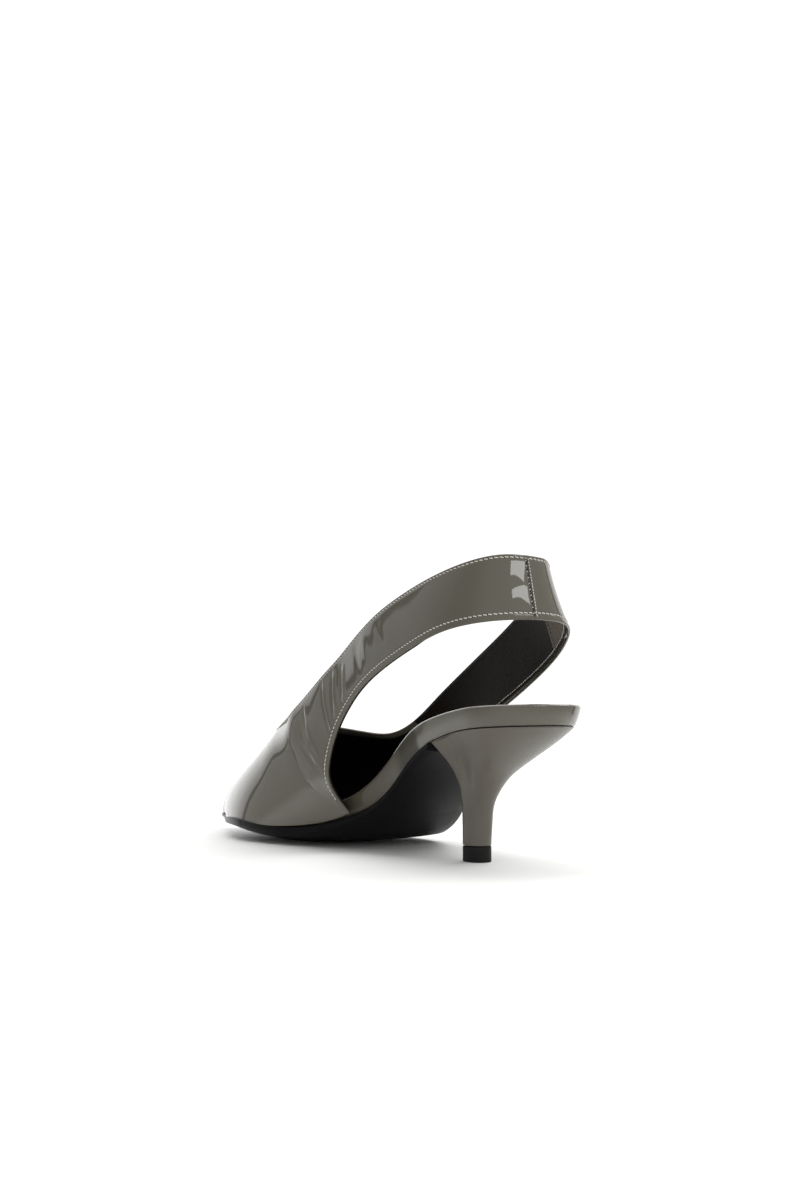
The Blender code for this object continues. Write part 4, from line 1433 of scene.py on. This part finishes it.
def world():
    """A white backdrop behind the shoe between black flags, with pale walls all round.

    The brightness is a ramp over the azimuth, the arc tangent of a direction's level part."""
    made = bpy.data.worlds.new("studio")
    bpy.context.scene.world = made
    made.use_nodes = True
    tree = made.node_tree
    way = tree.nodes.new("ShaderNodeTexCoord").outputs["Generated"]
    turn = np.radians(FIRST_AZIMUTH - 180.0)
    across_way = node(tree, "ShaderNodeVectorMath", [(way, 0)], operation="DOT_PRODUCT")
    across_way.inputs[1].default_value = (np.cos(turn), -np.sin(turn), 0.0)
    ahead_way = node(tree, "ShaderNodeVectorMath", [(way, 0)], operation="DOT_PRODUCT")
    ahead_way.inputs[1].default_value = (np.sin(turn), np.cos(turn), 0.0)
    links = [(across_way.outputs["Value"], 0), (ahead_way.outputs["Value"], 1)]
    azimuth = node(tree, "ShaderNodeMath", links, operation="ARCTAN2")
    share = node(
        tree, "ShaderNodeMapRange", [(azimuth.outputs["Value"], "Value")],
        From_Min=-np.pi, From_Max=np.pi,
    )
    ramp = node(tree, "ShaderNodeValToRGB", [(share.outputs["Result"], "Fac")])
    stops = ramp.color_ramp.elements
    first, final = SURROUND_ROWS[0][1], SURROUND_ROWS[-1][1]
    stops[0].color = (first, first, first, 1.0)
    stops[1].color = (final, final, final, 1.0)
    for stop_azimuth, bright in SURROUND_ROWS[1:-1]:
        stop = stops.new((stop_azimuth - FIRST_AZIMUTH) / 360.0)
        stop.color = (bright, bright, bright, 1.0)
    # The camera itself sees plain white all round.
    seen = tree.nodes.new("ShaderNodeLightPath").outputs["Is Camera Ray"]
    plain = node(
        tree, "ShaderNodeMix", [(seen, "Factor"), (ramp.outputs["Color"], 6)], data_type="RGBA",
    )
    plain.inputs[7].default_value = (PLAIN_WHITE, PLAIN_WHITE, PLAIN_WHITE, 1.0)
    shade = tree.nodes["Background"]
    tree.links.new(plain.outputs[2], shade.inputs["Color"])
    shade.inputs["Strength"].default_value = 1.0
    bpy.context.scene.view_settings.view_transform = "Standard"


def camera():
    """The photograph's view: a 47 mm lens on an upright frame, 58 mm above the floor."""
    data = bpy.data.cameras.new("camera")
    data.sensor_fit = "VERTICAL"
    data.sensor_width = SENSOR_MM
    data.sensor_height = SENSOR_MM
    data.lens = LENS_MM
    data.clip_start = 0.01
    made = bpy.data.objects.new("camera", data)
    bpy.context.scene.collection.objects.link(made)
    eye = np.array(EYE)
    made.matrix_world = look_at(eye, eye - np.array(CAMERA_BACK))
    bpy.context.scene.camera = made


def main():
    patent = patent_leather("patent_leather", "#5C584B", "#555144", waved=True)
    rand = patent_leather("patent_leather_rand", "#5A564B", "#535043", 7.0, 0.03)
    paint_shade_on_rand_waist(rand)
    heel = patent_leather("patent_leather_heel", "#66625A", "#5F5B53", 11.0, 0.03, 1.30, 0.4)
    lining = lining_leather("brown_kid_lining", "#241E18", "#1B1612")
    grip = lining_leather("taupe_suede_grip", "#81786F", "#746C63", 0.8)
    # Black leather of the sock; on the vamp lining and the seam strip its black is painted shade.
    black = lining_leather("black_sock_leather", "#100F0E", "#0A0A09")
    thread = spun_thread("taupe_thread", "#D6D2C8")
    dark_thread = spun_thread("dark_thread", "#24211E")
    # Painted shade: the dark of the capsules between stitches, for the shade in the needle holes.
    hole = lining_leather("hole_shade_black", "#15120F", "#100E0C", 0.7)
    sole = sole_leather("black_sole_leather", "#0B0A0E", "#060508", 0.45)
    rubber = moulded_rubber("black_rubber", "#0B0B0B")

    upper_patent(patent)
    inside = PATENT_THICK - LAYER_SUNK
    vamp_thick = LINING_THICK - 0.1
    on_lining = inside + LINING_THICK - GRIP_SUNK
    # Painted shade: the vamp's lining is drawn black, for the shade deep inside the vamp.
    layer(
        "vamp_lining", black, -0.9, 14.9, VAMP_LINING_LOW, THROAT_FOLD, inside, vamp_thick, 12,
    )
    layer(
        "strap_lining", lining, 14.6, 33.4, STRAP_LINING_LOW, STRAP_LINING_TOP, inside,
        LINING_THICK, 12,
    )
    layer(
        "heel_grip", grip, GRIP_FIRST_ROW, GRIP_LAST_ROW, GRIP_LOW, GRIP_TOP, on_lining,
        GRIP_THICK, 14,
    )
    upper_stitching(thread, dark_thread, hole)
    back_seam(thread, dark_thread, hole)
    covered_board(rand)
    sock(black)
    leather_sole(sole)
    covered_heel(heel)
    seam_shade_strip(black)
    top_piece(rubber)

    floor()
    for row in SOFTBOX_ROWS:
        softbox(*row)
    world()
    camera()


main()
